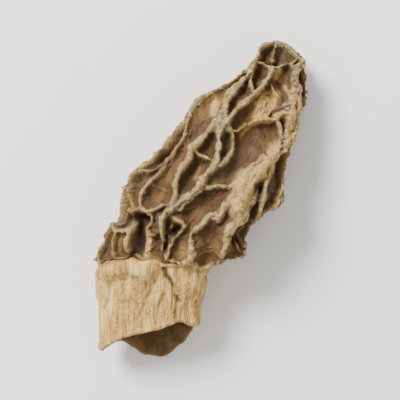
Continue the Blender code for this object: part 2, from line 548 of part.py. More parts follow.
def move_to(obj, collection):
    """Puts an object in this collection alone."""
    for old in list(obj.users_collection):
        old.objects.unlink(obj)
    collection.objects.link(obj)


def finished_mesh(rough, slab):
    """The rough mesh with fewer triangles, trimmed at the floor and centred over the origin."""
    thin = rough.modifiers.new("fewer_triangles", "DECIMATE")
    thin.ratio = MOST_TRIANGLES / (2 * SEGMENTS * (RINGS - 1))
    trim = rough.modifiers.new("floor_trim", "BOOLEAN")
    trim.operation = "DIFFERENCE"
    trim.solver = "EXACT"
    trim.object = slab
    bpy.context.view_layer.update()
    graph = bpy.context.evaluated_depsgraph_get()
    mesh = bpy.data.meshes.new_from_object(rough.evaluated_get(graph))
    at = np.empty(len(mesh.vertices) * 3, np.float32)
    mesh.vertices.foreach_get("co", at)
    at = at.reshape(-1, 3)
    low, high = at.min(axis=0), at.max(axis=0)
    at -= ((low[0] + high[0]) / 2, (low[1] + high[1]) / 2, low[2])
    mesh.vertices.foreach_set("co", at.ravel())
    mesh.update()
    mesh.shade_smooth()
    return mesh


def main():
    """Builds the morel as one solid, standing alone in the scene."""
    for old in list(bpy.data.objects):
        bpy.data.objects.remove(old)
    parts = bpy.data.collections.new("dried_morel")
    cutters = bpy.data.collections.new("cutters")
    for collection in (parts, cutters):
        bpy.context.scene.collection.children.link(collection)
    rough = morel_mesh()
    mesh = finished_mesh(rough, floor_slab(cutters))
    bpy.data.objects.remove(rough)
    morel = bpy.data.objects.new(NAME, mesh)
    parts.objects.link(morel)
    morel.data.materials.clear()
    morel.data.materials.append(flesh())


if __name__ == "__main__":
    main()
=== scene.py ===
"""A dried yellow morel lying on its side, dressed and lit for its picture.

The mushroom grew as one piece, so one finely modelled piece stands for its CAD solid: a long cap whose ribs
stand round deep pits, a wide fibrous stem, and the hollow that runs up from the stem's torn end. The piece
starts as a grid, closed at its seam and its two ends. Its rings are drawn out from the cap's tip to the
stem's end and back up the hollow, and a formula presses the skin in between the ribs.

Lengths are in millimetres until the mesh is scaled. Stations run along the cap from its base to its tip.
Angle 0 of a section is its left side and 90 its top. A layer of unevenness is given as its amount, the size
of its features and its seed, and a layer of folds as the same and its sharpness.
"""
import itertools
import logging
import math
from collections.abc import Iterator, Sequence
from dataclasses import dataclass, field
from enum import Enum
from functools import partial

import bmesh
import bpy
import numpy as np
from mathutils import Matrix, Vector


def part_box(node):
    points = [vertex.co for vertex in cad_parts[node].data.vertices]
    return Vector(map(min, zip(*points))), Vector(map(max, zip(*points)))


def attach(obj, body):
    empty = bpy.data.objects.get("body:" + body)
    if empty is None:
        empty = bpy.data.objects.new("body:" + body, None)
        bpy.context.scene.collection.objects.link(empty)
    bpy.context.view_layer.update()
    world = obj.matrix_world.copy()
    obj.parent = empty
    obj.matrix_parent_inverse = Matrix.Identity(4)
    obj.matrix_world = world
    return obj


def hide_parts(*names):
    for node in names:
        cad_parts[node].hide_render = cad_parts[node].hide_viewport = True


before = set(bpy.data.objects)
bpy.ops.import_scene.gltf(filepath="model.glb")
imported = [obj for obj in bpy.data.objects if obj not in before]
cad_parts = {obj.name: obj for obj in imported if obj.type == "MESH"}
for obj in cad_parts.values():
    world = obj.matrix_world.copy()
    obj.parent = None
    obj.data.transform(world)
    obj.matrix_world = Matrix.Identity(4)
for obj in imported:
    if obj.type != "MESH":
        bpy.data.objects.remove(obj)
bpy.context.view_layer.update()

log = logging.getLogger("dried_morel")
MM = 0.001
NODE = "morel"

Array = np.ndarray
Tree = bpy.types.NodeTree
Socket = bpy.types.NodeSocket
Span = tuple[float, float]
Triple = tuple[float, float, float]
Pairs = tuple[Span, ...]
Rows = tuple[tuple[float, ...], ...]
Size = float | Triple
Layer = tuple[float, Size, int]
Layers = tuple[Layer, ...]
Fold = tuple[float, Size, int, int]
# No distance is this long
FAR = 1e3
# Large numbers that scatter a cell's x, y and z and the seed, and then their mix, over the random values
SCATTER = (73856093, 19349663, 83492791, 40503)
REMIX = 1274126177


def tenths(numbers: Sequence[float]) -> Pairs:
    """Groups numbers in twos, from tenths of a millimetre."""
    return tuple((x / 10, y / 10) for x, y in zip(numbers[::2], numbers[1::2]))


def share_of(low: float, high: float, values: Array) -> Array:
    """How far each value has come from low to high, eased in and out.

    Args:
        low: the value at share 0.
        high: the value at share 1.
        values: the values.

    Returns:
        A share from 0 to 1 for each value.
    """
    part = np.clip((values - low) / (high - low), 0.0, 1.0)
    return part * part * (3.0 - 2.0 * part)


def faded(off: Array, half: float) -> Array:
    """1 at a line's middle, falling off smoothly past its half-width."""
    return np.exp(-(off / half) ** 2)


def held_to(depth: Array, limit: Array | float) -> Array:
    """Eases a depth so that it stays under a limit.

    Args:
        depth: how far each point is pressed in.
        limit: the most that each may be.

    Returns:
        The eased depths; those below 0 stay as they are.
    """
    positive = np.maximum(depth, 0)
    return np.where(depth > 0, positive / (1 + (positive / limit) ** 4) ** 0.25, depth)


@dataclass(frozen=True)
class Profile:
    """A smooth curve through (place, value) points."""

    points: Pairs

    def at(self, places: Array) -> Array:
        """Reads the curve.

        Args:
            places: where to read it.

        Returns:
            Its value at each place; past its ends it stays level.
        """
        at, value = np.array(self.points, float).T
        slope = np.gradient(value, at)
        left = np.clip(np.searchsorted(at, places) - 1, 0, len(at) - 2)
        run = at[left + 1] - at[left]
        u = np.clip((places - at[left]) / run, 0.0, 1.0)
        start = value[left] * (1 + 2 * u) * (1 - u) ** 2 + slope[left] * run * u * (1 - u) ** 2
        end = value[left + 1] * u * u * (3 - 2 * u) + slope[left + 1] * run * u * u * (u - 1)
        return start + end


@dataclass(frozen=True)
class Unevenness:
    """Smooth random values, the same in every run: the shape that drying and growth leave."""

    size: Size
    seed: int

    def values(self, points: Array) -> Array:
        """Mixes each cell corner's place and the seed into a random value, and blends the eight.

        Args:
            points: the points.

        Returns:
            One value from -1 to 1 at each.
        """
        place = points / np.asarray(self.size, float)
        cell = np.floor(place).astype(np.int64)
        part = place - cell
        part = part ** 3 * (part * (part * 6 - 15) + 10)
        total = np.zeros(len(points))
        for corner in itertools.product((0, 1), repeat=3):
            keys = (*(cell + np.array(corner)).T, self.seed)
            x, y, z, seed = (key * scatter for key, scatter in zip(keys, SCATTER))
            mixed = x ^ y ^ z ^ seed
            mixed = ((mixed ^ (mixed >> 13)) * REMIX) & 0x7FFFFFFF
            mixed = (mixed ^ (mixed >> 15)) & 0xFFFF
            weight = np.prod(np.where(corner, part, 1 - part), axis=1)
            total += weight * (mixed / 32767.5 - 1)
        return total

    def vectors(self, points: Array) -> Array:
        """Three values at each point."""
        return np.column_stack([Unevenness(self.size, self.seed + k).values(points) for k in range(3)])


def uneven(points: Array, *layers: Layer, base: Array | float = 0.0) -> Array:
    """Adds layers of unevenness to values.

    Args:
        points: the points.
        layers: the layers.
        base: the values that they are added to.

    Returns:
        The sum at each point.
    """
    for amount, size, seed in layers:
        base = base + amount * Unevenness(size, seed).values(points)
    return base


def wrinkles(points: Array, size: Size, seed: int, sharpness: int) -> Array:
    """Thin wandering lines: 1 at a point on one, near 0 away from them."""
    return (1 - np.abs(Unevenness(size, seed).values(points))) ** sharpness


def wandering(points: Array, *layers: Layer) -> Array:
    """Moves points by layers of unevenness, so that a line measured from them wanders.

    Args:
        points: the points.
        layers: the layers.

    Returns:
        The moved points.
    """
    moved = points.copy()
    for amount, size, seed in layers:
        moved += amount * Unevenness(size, seed).vectors(points)
    return moved


@dataclass(frozen=True)
class Stroke:
    """A line of (x, y) places seen from above, with an amount and a half-width."""

    amount: float
    half: float
    line: Pairs


def strokes(rows: Rows) -> tuple[Stroke, ...]:
    """Strokes from rows: the amount, then the half-width and the line's places in tenths of a millimetre."""
    return tuple(Stroke(row[0], row[1] / 10, tenths(row[2:])) for row in rows)


@dataclass(frozen=True)
class Rib:
    """A rib's crest line, its drop below the skin at its first and last place, and its half-width."""

    drops: Span
    half: float
    line: Pairs | Array


def smooth_line(points: Array | Sequence, step: float = 0.6) -> Array:
    """Draws a smooth curve through places.

    Args:
        points: the places, in two or three dimensions.
        step: the most that its points may be apart.

    Returns:
        The curve's points.
    """
    points = np.array(points, float)
    along = np.append(0, np.cumsum(np.linalg.norm(np.diff(points, axis=0), axis=1)))
    places = np.linspace(0, along[-1], int(np.ceil(along[-1] / step)) + 1)
    return np.column_stack([Profile(tuple(zip(along, side))).at(places) for side in points.T])


def distance_to(points: Array, line: Array, reach: float = 3.4) -> tuple[Array, Array]:
    """Measures from points to a line through several places.

    Args:
        points: the points.
        line: the places.
        reach: no distance past this is measured.

    Returns:
        Each point's distance, and how far along the line its nearest place is, from 0 to 1.
    """
    nearest = np.full(len(points), FAR)
    along = np.zeros(len(points))
    inside = (points > line.min(axis=0) - reach) & (points < line.max(axis=0) + reach)
    close = np.flatnonzero(inside.all(axis=1))
    near, best, part_of = points[close], np.full(len(close), FAR), np.zeros(len(close))
    for k, (start, end) in enumerate(zip(line[:-1], line[1:])):
        run = end - start
        low, high = np.minimum(start, end) - reach, np.maximum(start, end) + reach
        here = np.flatnonzero(((near > low) & (near < high)).all(axis=1))
        part = np.clip((near[here] - start) @ run / max(run @ run, 1e-9), 0, 1)
        off = np.linalg.norm(near[here] - start - part[:, None] * run, axis=1)
        better = off < best[here]
        best[here[better]] = off[better]
        part_of[here[better]] = (k + part[better]) / (len(line) - 1)
    nearest[close], along[close] = best, part_of
    return nearest, along


def seen_from_above(points: Array, drawn: tuple[Stroke, ...]) -> Iterator[tuple[Stroke, Array]]:
    """Lays strokes on points from straight above.

    Args:
        points: the points.
        drawn: the strokes.

    Yields:
        Each stroke, and how near each point is to it, from 1 on its line to 0.
    """
    flat = np.column_stack((points[:, :2], np.zeros(len(points))))
    for stroke in drawn:
        line = smooth_line([(x, y, 0.0) for x, y in stroke.line])
        yield stroke, faded(distance_to(flat, line)[0], stroke.half)


def put(name: str, data: bpy.types.ID) -> bpy.types.Object:
    """Makes an object in the scene.

    Args:
        name: its name.
        data: its mesh, light or camera.

    Returns:
        The object.
    """
    made = bpy.data.objects.new(name, data)
    bpy.context.scene.collection.objects.link(made)
    return made


def linear(code: str) -> tuple[float, ...]:
    """Turns an sRGB hex colour such as "C8B08A" into linear light."""
    parts = [int(code[k:k + 2], 16) / 255 for k in (0, 2, 4)]
    return *(p / 12.92 if p <= 0.04045 else ((p + 0.055) / 1.055) ** 2.4 for p in parts), 1.0


def add(tree: Tree, kind: str, inputs: dict, output: int = 0, **settings: object) -> Socket:
    """Adds a shader node.

    Args:
        tree: the material's node tree.
        kind: the node's type, without its ShaderNode prefix.
        inputs: a value or another node's output for each of the node's inputs, by name or number.
        output: the output to give back.
        settings: the node's own settings.

    Returns:
        That output.
    """
    node = tree.nodes.new("ShaderNode" + kind)
    for name, value in settings.items():
        setattr(node, name, value)
    for socket, value in inputs.items():
        if isinstance(value, Socket):
            tree.links.new(value, node.inputs[socket])
        else:
            node.inputs[socket].default_value = value
    return node.outputs[output]


@dataclass(frozen=True)
class Coat:
    """One of the colours laid on the flesh over those before it: the flesh's own colours, and painted shade
    and painted light.

    It follows one of the piece's masks and shows where that mask is near the end of its span, with a ragged
    edge if it has one. With a grain it shows only in flecks or patches of about that many millimetres.
    """

    colour: str
    most: float = 1.0
    mask: str = ""
    span: Span = (0.0, 1.0)
    ragged: float = 0.0
    ragged_size: float = 0.9
    grain: float = 0.0
    flecks: Span = (0.5, 0.6)
    detail: float = 5.0
    fibrous: bool = False

    def share(self, tree: Tree, places: dict[str, Socket]) -> Socket:
        """Works out how much of the coat shows.

        Args:
            tree: the material's node tree.
            places: the flesh's own coordinates, and the same drawn out along the stem's fibres.

        Returns:
            The output that holds the share, from 0 to 1.
        """
        low, high = self.span
        value = add(tree, "Attribute", {}, 2, attribute_name=self.mask) if self.mask else high
        if self.ragged:
            torn = add(tree, "TexNoise", {
                "Vector": places["flesh"], "Scale": 1 / (self.ragged_size * MM), "Detail": 4.0})
            value = add(tree, "Math", {0: torn, 1: self.ragged, 2: value}, operation="MULTIPLY_ADD")
            low, high = low + self.ragged / 2, high + self.ragged / 2
        share = add(tree, "MapRange", {
            "Value": value, "From Min": low, "From Max": high, "To Max": self.most},
            interpolation_type="SMOOTHSTEP")
        if self.grain:
            speckle = add(tree, "TexNoise", {
                "Vector": places["fibre" if self.fibrous else "flesh"], "Scale": 1 / (self.grain * MM),
                "Detail": self.detail})
            fleck = add(tree, "MapRange", {
                "Value": speckle, "From Min": self.flecks[0], "From Max": self.flecks[1]},
                interpolation_type="SMOOTHSTEP")
            share = add(tree, "Math", {0: share, 1: fleck}, operation="MULTIPLY")
        return share


# Where the coats of the crests and of the stem show, and how ragged their edges are
ON_CRESTS = {"mask": "crest", "span": (0.3, 0.8), "ragged": 1.0}
ON_STEM = {"mask": "stem", "span": (0.3, 0.7), "ragged": 0.5}


@dataclass(frozen=True)
class DriedFlesh:
    """Dried morel flesh: brown pits, greyish grainy crests, a cream fibrous stem and a brown lining."""

    pit: str = "463019"
    coats: tuple[Coat, ...] = (
        # Pits: patchy brown with dark specks, paler where the tone is high: painted light on lit sheets of
        # flesh, and the sides' uneven patches, painted paler overall
        Coat("523A1F", grain=3.5, flecks=(0.38, 0.62), detail=4.0),
        Coat("795B2E", mask="tone", span=(0.45, 1.0)),
        Coat("33241A", most=0.42, grain=0.9, flecks=(0.5, 0.66)),
        # Just below the crests: painted shade, a darker brown line on the upper walls where the crests' edges
        # shade them
        Coat("38281A", mask="crest", span=(0.0, 0.3), most=0.4),
        # Crests: greyish tan with brown blotches, dark grains and pale grains
        Coat("8A7553", **ON_CRESTS),
        Coat("74603F", grain=1.8, flecks=(0.42, 0.62), detail=3.0, **ON_CRESTS),
        Coat("3D2C19", most=0.75, grain=0.7, flecks=(0.52, 0.6), **ON_CRESTS),
        Coat("C4B08A", most=0.7, grain=0.85, flecks=(0.54, 0.64), **ON_CRESTS),
        # Broad ribs: a straw-coloured skin with brown cracks; the straw coat also goes on the places painted
        # lightest, as painted light
        Coat("B59355", mask="band"),
        Coat("8E7959", mask="band", most=0.8, grain=1.7, flecks=(0.4, 0.7)),
        Coat("6E4E26", mask="band", most=0.7, grain=0.6, flecks=(0.52, 0.64)),
        # Painted shade where the tone is low, and the darker of the sides' uneven patches: greyish at first,
        # then nearly black
        Coat("62533F", mask="tone", span=(0.5, 0.3), most=0.45),
        Coat("352515", mask="tone", span=(0.42, 0.0), most=0.42),
        # Stem: straw, with tan patches, brown streaks, fine fibres and pale worn places
        Coat("BE9955", **ON_STEM),
        Coat("AD8748", most=0.6, grain=6.0, flecks=(0.48, 0.68), **ON_STEM),
        Coat("6E4A22", most=0.5, grain=1.1, flecks=(0.5, 0.7), fibrous=True, **ON_STEM),
        Coat("7E5C2E", most=0.7, grain=0.4, flecks=(0.5, 0.64), fibrous=True, **ON_STEM),
        Coat("6E4A22", most=0.35, grain=0.6, flecks=(0.52, 0.62), **ON_STEM),
        Coat("DFC07C", most=0.75, grain=1.6, flecks=(0.48, 0.68), fibrous=True, **ON_STEM),
        # Painted shade in the hollows and in the furrows, and painted highlights on raised edges
        Coat("2A1C0F", mask="hollow", most=0.06),
        Coat("21170E", mask="furrow", most=0.85),
        Coat("BD9A58", mask="edge", most=0.3),
        # Lining of the hollow: smooth brown with lighter patches
        Coat("5C4427", mask="lining"),
        Coat("765A36", mask="lining", grain=3.0, flecks=(0.4, 0.65), detail=3.0),
    )
    roughness: Span = (0.76, 0.92)
    specular: float = 0.3
    # In millimetres. A real crest's pimples and a stem's fibres are near 0.2 mm. They and the coats' finest
    # grains are drawn two or three times coarser, so that they show at the photo's size.
    sheen_size: float = 1.5
    pimple_size: float = 0.38
    grain_size: float = 0.6
    grain_height: float = 0.34
    fibre_size: float = 0.5
    fibre_height: float = 0.38
    fibre_scale: Triple = (0.16, 1.0, 0.6)
    stem_lean: float = 28.0

    def build(self) -> bpy.types.Material:
        """Makes the material.

        Returns:
            The material; it reads the piece's masks and Object coordinates in real millimetres.
        """
        # Dried fungus flesh is porous and matt, so light gives it form but no gloss
        material = bpy.data.materials.new("dried morel flesh")
        material.use_nodes = True
        tree = material.node_tree
        tree.nodes.clear()
        flesh = add(tree, "TexCoord", {}, 3)
        turned = add(tree, "Mapping", {"Vector": flesh, "Rotation": (0, 0, -math.radians(self.stem_lean))})
        fibre = add(tree, "Mapping", {"Vector": turned, "Scale": self.fibre_scale})
        places = {"flesh": flesh, "fibre": fibre}
        colour = linear(self.pit)
        for coat in self.coats:
            colour = add(tree, "Mix", {0: coat.share(tree, places), 6: colour, 7: linear(coat.colour)}, 2,
                         data_type="RGBA")
        shader = add(tree, "BsdfPrincipled", {
            "Base Color": colour, "Roughness": self.dullness(tree, flesh), "Normal": self.bumps(tree, places),
            "Specular IOR Level": self.specular})
        tree.links.new(shader, tree.nodes.new("ShaderNodeOutputMaterial").inputs["Surface"])
        return material

    def dullness(self, tree: Tree, flesh: Socket) -> Socket:
        """Roughness in patches, so that the dry skin's faint sheen is uneven.

        Args:
            tree: the material's node tree.
            flesh: the flesh's own coordinates.

        Returns:
            The roughness.
        """
        patches = add(tree, "TexNoise", {"Vector": flesh, "Scale": 1 / (self.sheen_size * MM), "Detail": 3.0})
        low, high = self.roughness
        return add(tree, "MapRange", {"Value": patches, "To Min": low, "To Max": high})

    def bumps(self, tree: Tree, places: dict[str, Socket]) -> Socket:
        """Relief that is too fine to model.

        Args:
            tree: the material's node tree.
            places: the flesh's own coordinates, and the same drawn out along the stem's fibres.

        Returns:
            The normal: grain everywhere, pimples on the crests and fibres along the stem.
        """
        pimples, grain, fibres = (
            add(tree, "TexNoise", {"Vector": places[where], "Scale": 1 / (size * MM), "Detail": detail})
            for where, size, detail in (
                ("flesh", self.pimple_size, 3.0), ("flesh", self.grain_size, 6.0),
                ("fibre", self.fibre_size, 4.0)))
        crest, stem = (add(tree, "Attribute", {}, 2, attribute_name=name) for name in ("crest", "stem"))
        height = add(tree, "Math", {0: pimples, 1: crest, 2: grain}, operation="MULTIPLY_ADD")
        normal = add(tree, "Bump", {"Height": height, "Strength": 1.0, "Distance": self.grain_height * MM})
        return add(tree, "Bump", {"Height": fibres, "Strength": stem, "Distance": self.fibre_height * MM,
                                  "Normal": normal})


@dataclass(frozen=True)
class Section:
    """How a body's cross-section runs: its reach left and right, its top and its underside."""

    left: Profile
    right: Profile
    top: Profile
    bottom: Profile

    def at(self, stations: Array) -> Array:
        """The four, one row each, at these stations."""
        return np.stack([side.at(stations) for side in (self.left, self.right, self.top, self.bottom)])

    @staticmethod
    def shrunk(rows: Array, share: Array | float) -> Array:
        """Shrinks a section round its middle.

        Args:
            rows: its four rows.
            share: the share of it that is left.

        Returns:
            The four rows.
        """
        left, right, top, bottom = rows
        middle = (top + bottom) / 2
        return np.stack([left * share, right * share, middle + (top - middle) * share,
                         middle + (bottom - middle) * share])


@dataclass
class Skin:
    """Points of the bare skin, with their stations and their angles in radians."""

    points: Array
    at: Array
    angles: Array

    def part(self, mask: Array) -> "Skin":
        """The points that a mask shows."""
        return Skin(self.points[mask], self.at[mask], self.angles[mask])


@dataclass
class BareBody:
    """The mushroom's body before its pits: cap, stem and hollow."""

    cap_length: float = 52.6
    cap: Section = Section(
        Profile(((-9, 12.6), (-3, 13.6), (1, 14.2), (5, 14.4), (9, 15.4), (13, 14.4), (17, 14.0), (21, 14.2),
                 (25, 13.3), (30, 12.4), (35, 10.9), (40, 8.6), (45, 7.2), (49, 7.0), (53, 6.8))),
        Profile(((-9, 12.4), (-3, 14.0), (1, 15.6), (5, 15.0), (9, 14.6), (13, 14.2), (17, 13.6), (21, 14.6),
                 (25, 13.8), (30, 11.8), (35, 9.9), (40, 8.8), (45, 7.8), (49, 6.4), (53, 6.0))),
        Profile(((-9, 20.4), (-3, 21.8), (4, 24.0), (12, 24.8), (20, 23.6), (27, 21.4), (34, 18.4),
                 (41, 15.4), (47, 13.6), (53, 12.6))),
        Profile(((-9, 0.8), (-3, 0.0), (4, -0.4), (12, -0.5), (20, -0.5), (27, -0.5), (34, -0.4),
                 (41, 0.1), (47, 0.9), (53, 1.8))),
    )
    stem: Section = Section(
        Profile(((-22, 12.0), (-14, 11.6), (-9, 11.4), (-4, 11.6), (3, 10.5))),
        Profile(((-22, 10.4), (-14, 10.2), (-9, 11.2), (-4, 12.0), (3, 10.5))),
        Profile(((-22, 17.2), (-14, 18.2), (-8, 19.2), (-3, 20.4), (3, 20.4))),
        Profile(((-22, 2.6), (-14, 2.2), (-8, 2.0), (-3, 2.4), (3, 3.6))),
    )
    centre: Profile = Profile((
        (-22, -6.1), (-19, -4.4), (-13, -1.1), (-7, 2.6), (-3, 3.8), (1, 3.0), (5, 1.5), (9, 2.2), (13, 2.8),
        (17, 1.4), (21, -0.4), (25, -0.2), (30, 0.0), (35, -0.8), (40, -1.0), (46, -1.0), (53, 0.4)))
    lean: Profile = Profile(((-22, 28.0), (-4, 28.0), (2, 16.0), (8, 5.0), (15, 0.0), (53, 0.0)))
    squareness: Profile = Profile(((-22, 2.5), (-6, 2.6), (3, 3.6), (12, 4.0), (40, 4.0), (53, 3.0)))
    squareness_below: float = 2.4
    tip_round: float = 4.8
    tip_squareness: float = 3.6
    # The cap's lower margin and the stem's torn end, as (angle, station)
    margin: Profile = Profile((
        (0, -2.2), (25, -3.2), (45, -2.8), (63, -2.2), (82, -1.6), (108, -3.0), (131, -3.8), (155, -3.6),
        (180, -1.2), (235, 0.4), (300, -1.2), (360, -2.2)))
    torn_end: Profile = Profile((
        (0, -19.6), (37, -18.4), (52, -16.9), (66, -16.2), (80, -15.9), (98, -15.7), (115, -14.9),
        (126, -14.7), (140, -15.0), (156, -15.4), (180, -15.2), (205, -15.8), (228, -18.4), (256, -21.0),
        (277, -20.7), (305, -18.0), (335, -18.8), (360, -19.6)))
    # How ragged those two edges are, measured round a circle of about the stem's radius
    margin_ragged: Layers = ((0.5, 2.2, 51), (0.12, 0.8, 52))
    torn_ragged: Layers = ((0.3, 3.0, 53), (0.05, 1.1, 54))
    edge_radius: float = 11.0
    margin_round: float = 2.2
    margin_lip: float = 0.6
    # Where the stem bulges out between the cap's lobes, the margin has no lip
    bulge_angle: float = 80.0
    bulge_reach: float = 20.0
    stem_wall: float = 1.3
    torn_bulge: float = 0.5
    hollow_share: float = 0.5
    hollow_end: float = 37.0
    hollow_round: float = 9.0
    hollow_blend: Span = (-6.0, 4.0)
    # Shares of the grid's rings: the cap, its underside, the stem, the torn lip, the hollow
    cap_share: float = 0.62
    tuck_share: float = 0.66
    stem_share: float = 0.82
    lip_share: float = 0.85
    # How much closer the rings are at the tip and at the hollow's end
    tip_crowding: float = 0.08
    hollow_crowding: float = 0.25
    tuck: float = -0.35

    def edge(self, line: Profile, ragged: Layers, angles: Array) -> Array:
        """Where a ragged edge runs.

        Args:
            line: its station at each angle in degrees.
            ragged: its unevenness.
            angles: the angles, in radians.

        Returns:
            Its station at each.
        """
        round_it = np.column_stack((np.cos(angles), np.sin(angles), np.zeros(len(angles)))) * self.edge_radius
        return uneven(round_it, *ragged, base=line.at(np.degrees(angles) % 360))

    def domed(self, past: Array) -> Array:
        """The share of a section that is left this far along a rounded end, from 1 to 0."""
        return (1.0 - np.clip(past, 0.0, 1.0) ** self.tip_squareness) ** (1 / self.tip_squareness)

    def cap_at(self, at: Array) -> Array:
        """The cap's sections, rounded off at the tip."""
        dome = self.domed((at - self.cap_length + self.tip_round) / self.tip_round)
        return Section.shrunk(self.cap.at(at), dome)

    def hollow_at(self, at: Array) -> Array:
        """The hollow's sections: the stem's bore, which narrows into the cap.

        Args:
            at: the stations.

        Returns:
            The sections' four rows.
        """
        wall = self.stem_wall
        bore = self.stem.at(at) + np.array([[-wall], [-wall], [-wall], [wall]])
        in_cap = share_of(*self.hollow_blend, at)
        dome = self.domed((at - self.hollow_end + self.hollow_round) / self.hollow_round)
        inside = Section.shrunk(self.cap_at(at), self.hollow_share)
        return Section.shrunk(bore * (1 - in_cap) + inside * in_cap, dome)

    def around(self, at: Array, angles: Array, section: Array) -> Array:
        """Points round the sections at these stations.

        Args:
            at: each point's station.
            angles: each point's angle round its section, in radians.
            section: the sections' four rows.

        Returns:
            The points.
        """
        left, right, top, bottom = section
        lean = np.radians(self.lean.at(at))
        cos, sin = np.cos(angles), np.sin(angles)
        power = np.where(sin > 0, self.squareness.at(at), self.squareness_below)
        out = (np.abs(cos) ** power + np.abs(sin) ** power) ** (-1 / power)
        side = np.where(cos > 0, left, right) * cos * out
        return np.column_stack((
            at - side * np.sin(lean),
            self.centre.at(at) + side * np.cos(lean),
            (top + bottom) / 2 + (top - bottom) / 2 * sin * out,
        ))

    def skin(self, rings: Array, angles: Array) -> tuple[Skin, list[Array]]:
        """The bare skin from the tip to the stem's end and back up the hollow.

        Args:
            rings: each point's share of the way, from 0 to 1.
            angles: each point's angle, in radians.

        Returns:
            The skin, and masks of the cap, its underside, the stem and the torn lip, each with those before.
        """
        margin = self.edge(self.margin, self.margin_ragged, angles)
        torn = self.edge(self.torn_end, self.torn_ragged, angles)
        shares = (self.cap_share, self.tuck_share, self.stem_share, self.lip_share, 1.0)
        masks = [rings <= share for share in shares[:-1]]
        tucked, down, lip, inner = (
            np.clip((rings - start) / (end - start), 0, 1) for start, end in itertools.pairwise(shares))
        f, crowding = rings / self.cap_share, self.tip_crowding
        at = np.select(masks, (
            self.cap_length - (self.cap_length - margin) * f * f * (1 + crowding) / (f + crowding),
            margin + self.tuck * tucked,
            margin + self.tuck - (margin + self.tuck - torn) * down,
            torn - self.torn_bulge * np.sin(np.pi * lip),
        ), torn + (self.hollow_end - torn) * inner * (1 + self.hollow_crowding * (1 - inner)))
        cap, stem, hollow = self.cap_at(at), self.stem.at(at), self.hollow_at(at)
        rise = 1 - np.clip((at - margin) / self.margin_round, 0, 1)
        bulge = faded(np.degrees(angles) % 360 - self.bulge_angle, self.bulge_reach)
        brim = stem + (cap - stem) * self.margin_lip * (1 - bulge)
        cap = brim + (cap - brim) * np.sqrt(1 - rise ** 2)
        section = np.select(masks, (
            cap, cap + (stem - cap) * tucked, stem, stem + (hollow - stem) * lip), hollow)
        return Skin(self.around(at, angles, section), at, angles), masks

    def room(self, skin: Skin, section: Array) -> Array:
        """How far each point of the skin is from a section inside it, given as its four rows."""
        return np.linalg.norm(skin.points - self.around(skin.at, skin.angles, section), axis=1)


@dataclass
class HiddenRibs:
    """The ribs of the sides and the underside, which cross ribs join, and the margin's rim."""

    body: BareBody
    # The angles that the upper side's own ribs end at
    angles: Span = (150.0, 388.0)
    # Long ribs, as (angle, first station, last station)
    long_ribs: Rows = (
        (176.0, 1.0, 44.0), (203.0, 0.0, 52.6), (231.0, 0.5, 31.0), (256.0, 0.5, 52.6),
        (284.0, 0.0, 33.0), (310.0, -0.8, 52.6), (337.0, -1.4, 36.0), (363.0, -1.0, 46.0))
    long_step: float = 1.5
    # How far a long rib sways and how long its waves are: the wide ones and the short ones
    sways: Pairs = ((7.5, 6.5), (4.5, 2.3))
    # Cross ribs: the first one's station, their spacing, and how much they vary, slant, bow and run past
    cross_from: float = 3.0
    cross_step: float = 7.4
    cross_jitter: float = 1.8
    cross_slant: float = 3.4
    cross_bow: float = 1.2
    cross_past: float = 1.0
    cross_halves: Span = (0.4, 0.65)
    drops: Span = (0.3, 0.3)
    half: float = 0.45
    rim_step: float = 6.0
    rim_rise: float = 0.3
    seed: int = 7

    def place(self, angle: float, phases: Sequence[float], station: float) -> Array:
        """A place on a row of the net.

        Args:
            angle: the row's angle.
            phases: where its waves start; a straight row has none.
            station: the station.

        Returns:
            The point.
        """
        sway = sum(reach * math.sin(station / run + phase) for (reach, run), phase in zip(self.sways, phases))
        at = np.array([station])
        return self.body.around(at, np.radians([angle + sway]), self.body.cap_at(at))[0]

    def build(self) -> list[Rib]:
        """Draws the ribs.

        Returns:
            The long ribs, the cross ribs between each two rows, and the rim.
        """
        draw = np.random.default_rng(self.seed)
        edges = [(angle, 0.0, self.body.cap_length) for angle in self.angles]
        rows = [edges[0], *self.long_ribs, edges[1]]
        phases = np.transpose([draw.uniform(0, math.tau, len(rows)) for _ in self.sways])
        swaying = [(), *phases[1:-1], ()]
        tracks = [partial(self.place, row[0], starts) for row, starts in zip(rows, swaying)]
        ribs = []
        for (_, first, last), track in zip(self.long_ribs, tracks[1:-1]):
            stations = np.linspace(first, last, int(last / self.long_step))
            ribs.append(Rib(self.drops, self.half, smooth_line([track(station) for station in stations])))
        for k in range(len(rows) - 1):
            # Every other row's cross ribs start half a step further on
            station = self.cross_from + self.cross_step * (0.5 * (k % 2)) + draw.uniform(0, self.cross_jitter)
            while station < min(rows[k][2], rows[k + 1][2]) + self.cross_past:
                other = station + draw.uniform(-1, 1) * self.cross_slant
                ends = tracks[k](station), tracks[k + 1](other)
                middle = sum(ends) / 2 + (draw.uniform(-1, 1) * self.cross_bow, 0, 0)
                half = draw.uniform(*self.cross_halves)
                ribs.append(Rib(self.drops, half, smooth_line([ends[0], middle, ends[1]])))
                station += self.cross_step + draw.uniform(-1, 1) * self.cross_jitter
        round_it = np.arange(*self.angles, self.rim_step)
        at = self.body.margin.at(round_it % 360) + self.rim_rise
        rim = self.body.around(at, np.radians(round_it), self.body.cap_at(at))
        return ribs + [Rib(self.drops, self.half, rim)]


@dataclass
class PitFacts:
    """What the pressing of the pits leaves at each point of the cap's skin.

    Beside is the point's place by its nearest rib: how far along it, how far from its crest, its length.
    """

    depth: Array
    crest: Array
    band: Array
    beside: Array
    furrow: Array
    tone: Array


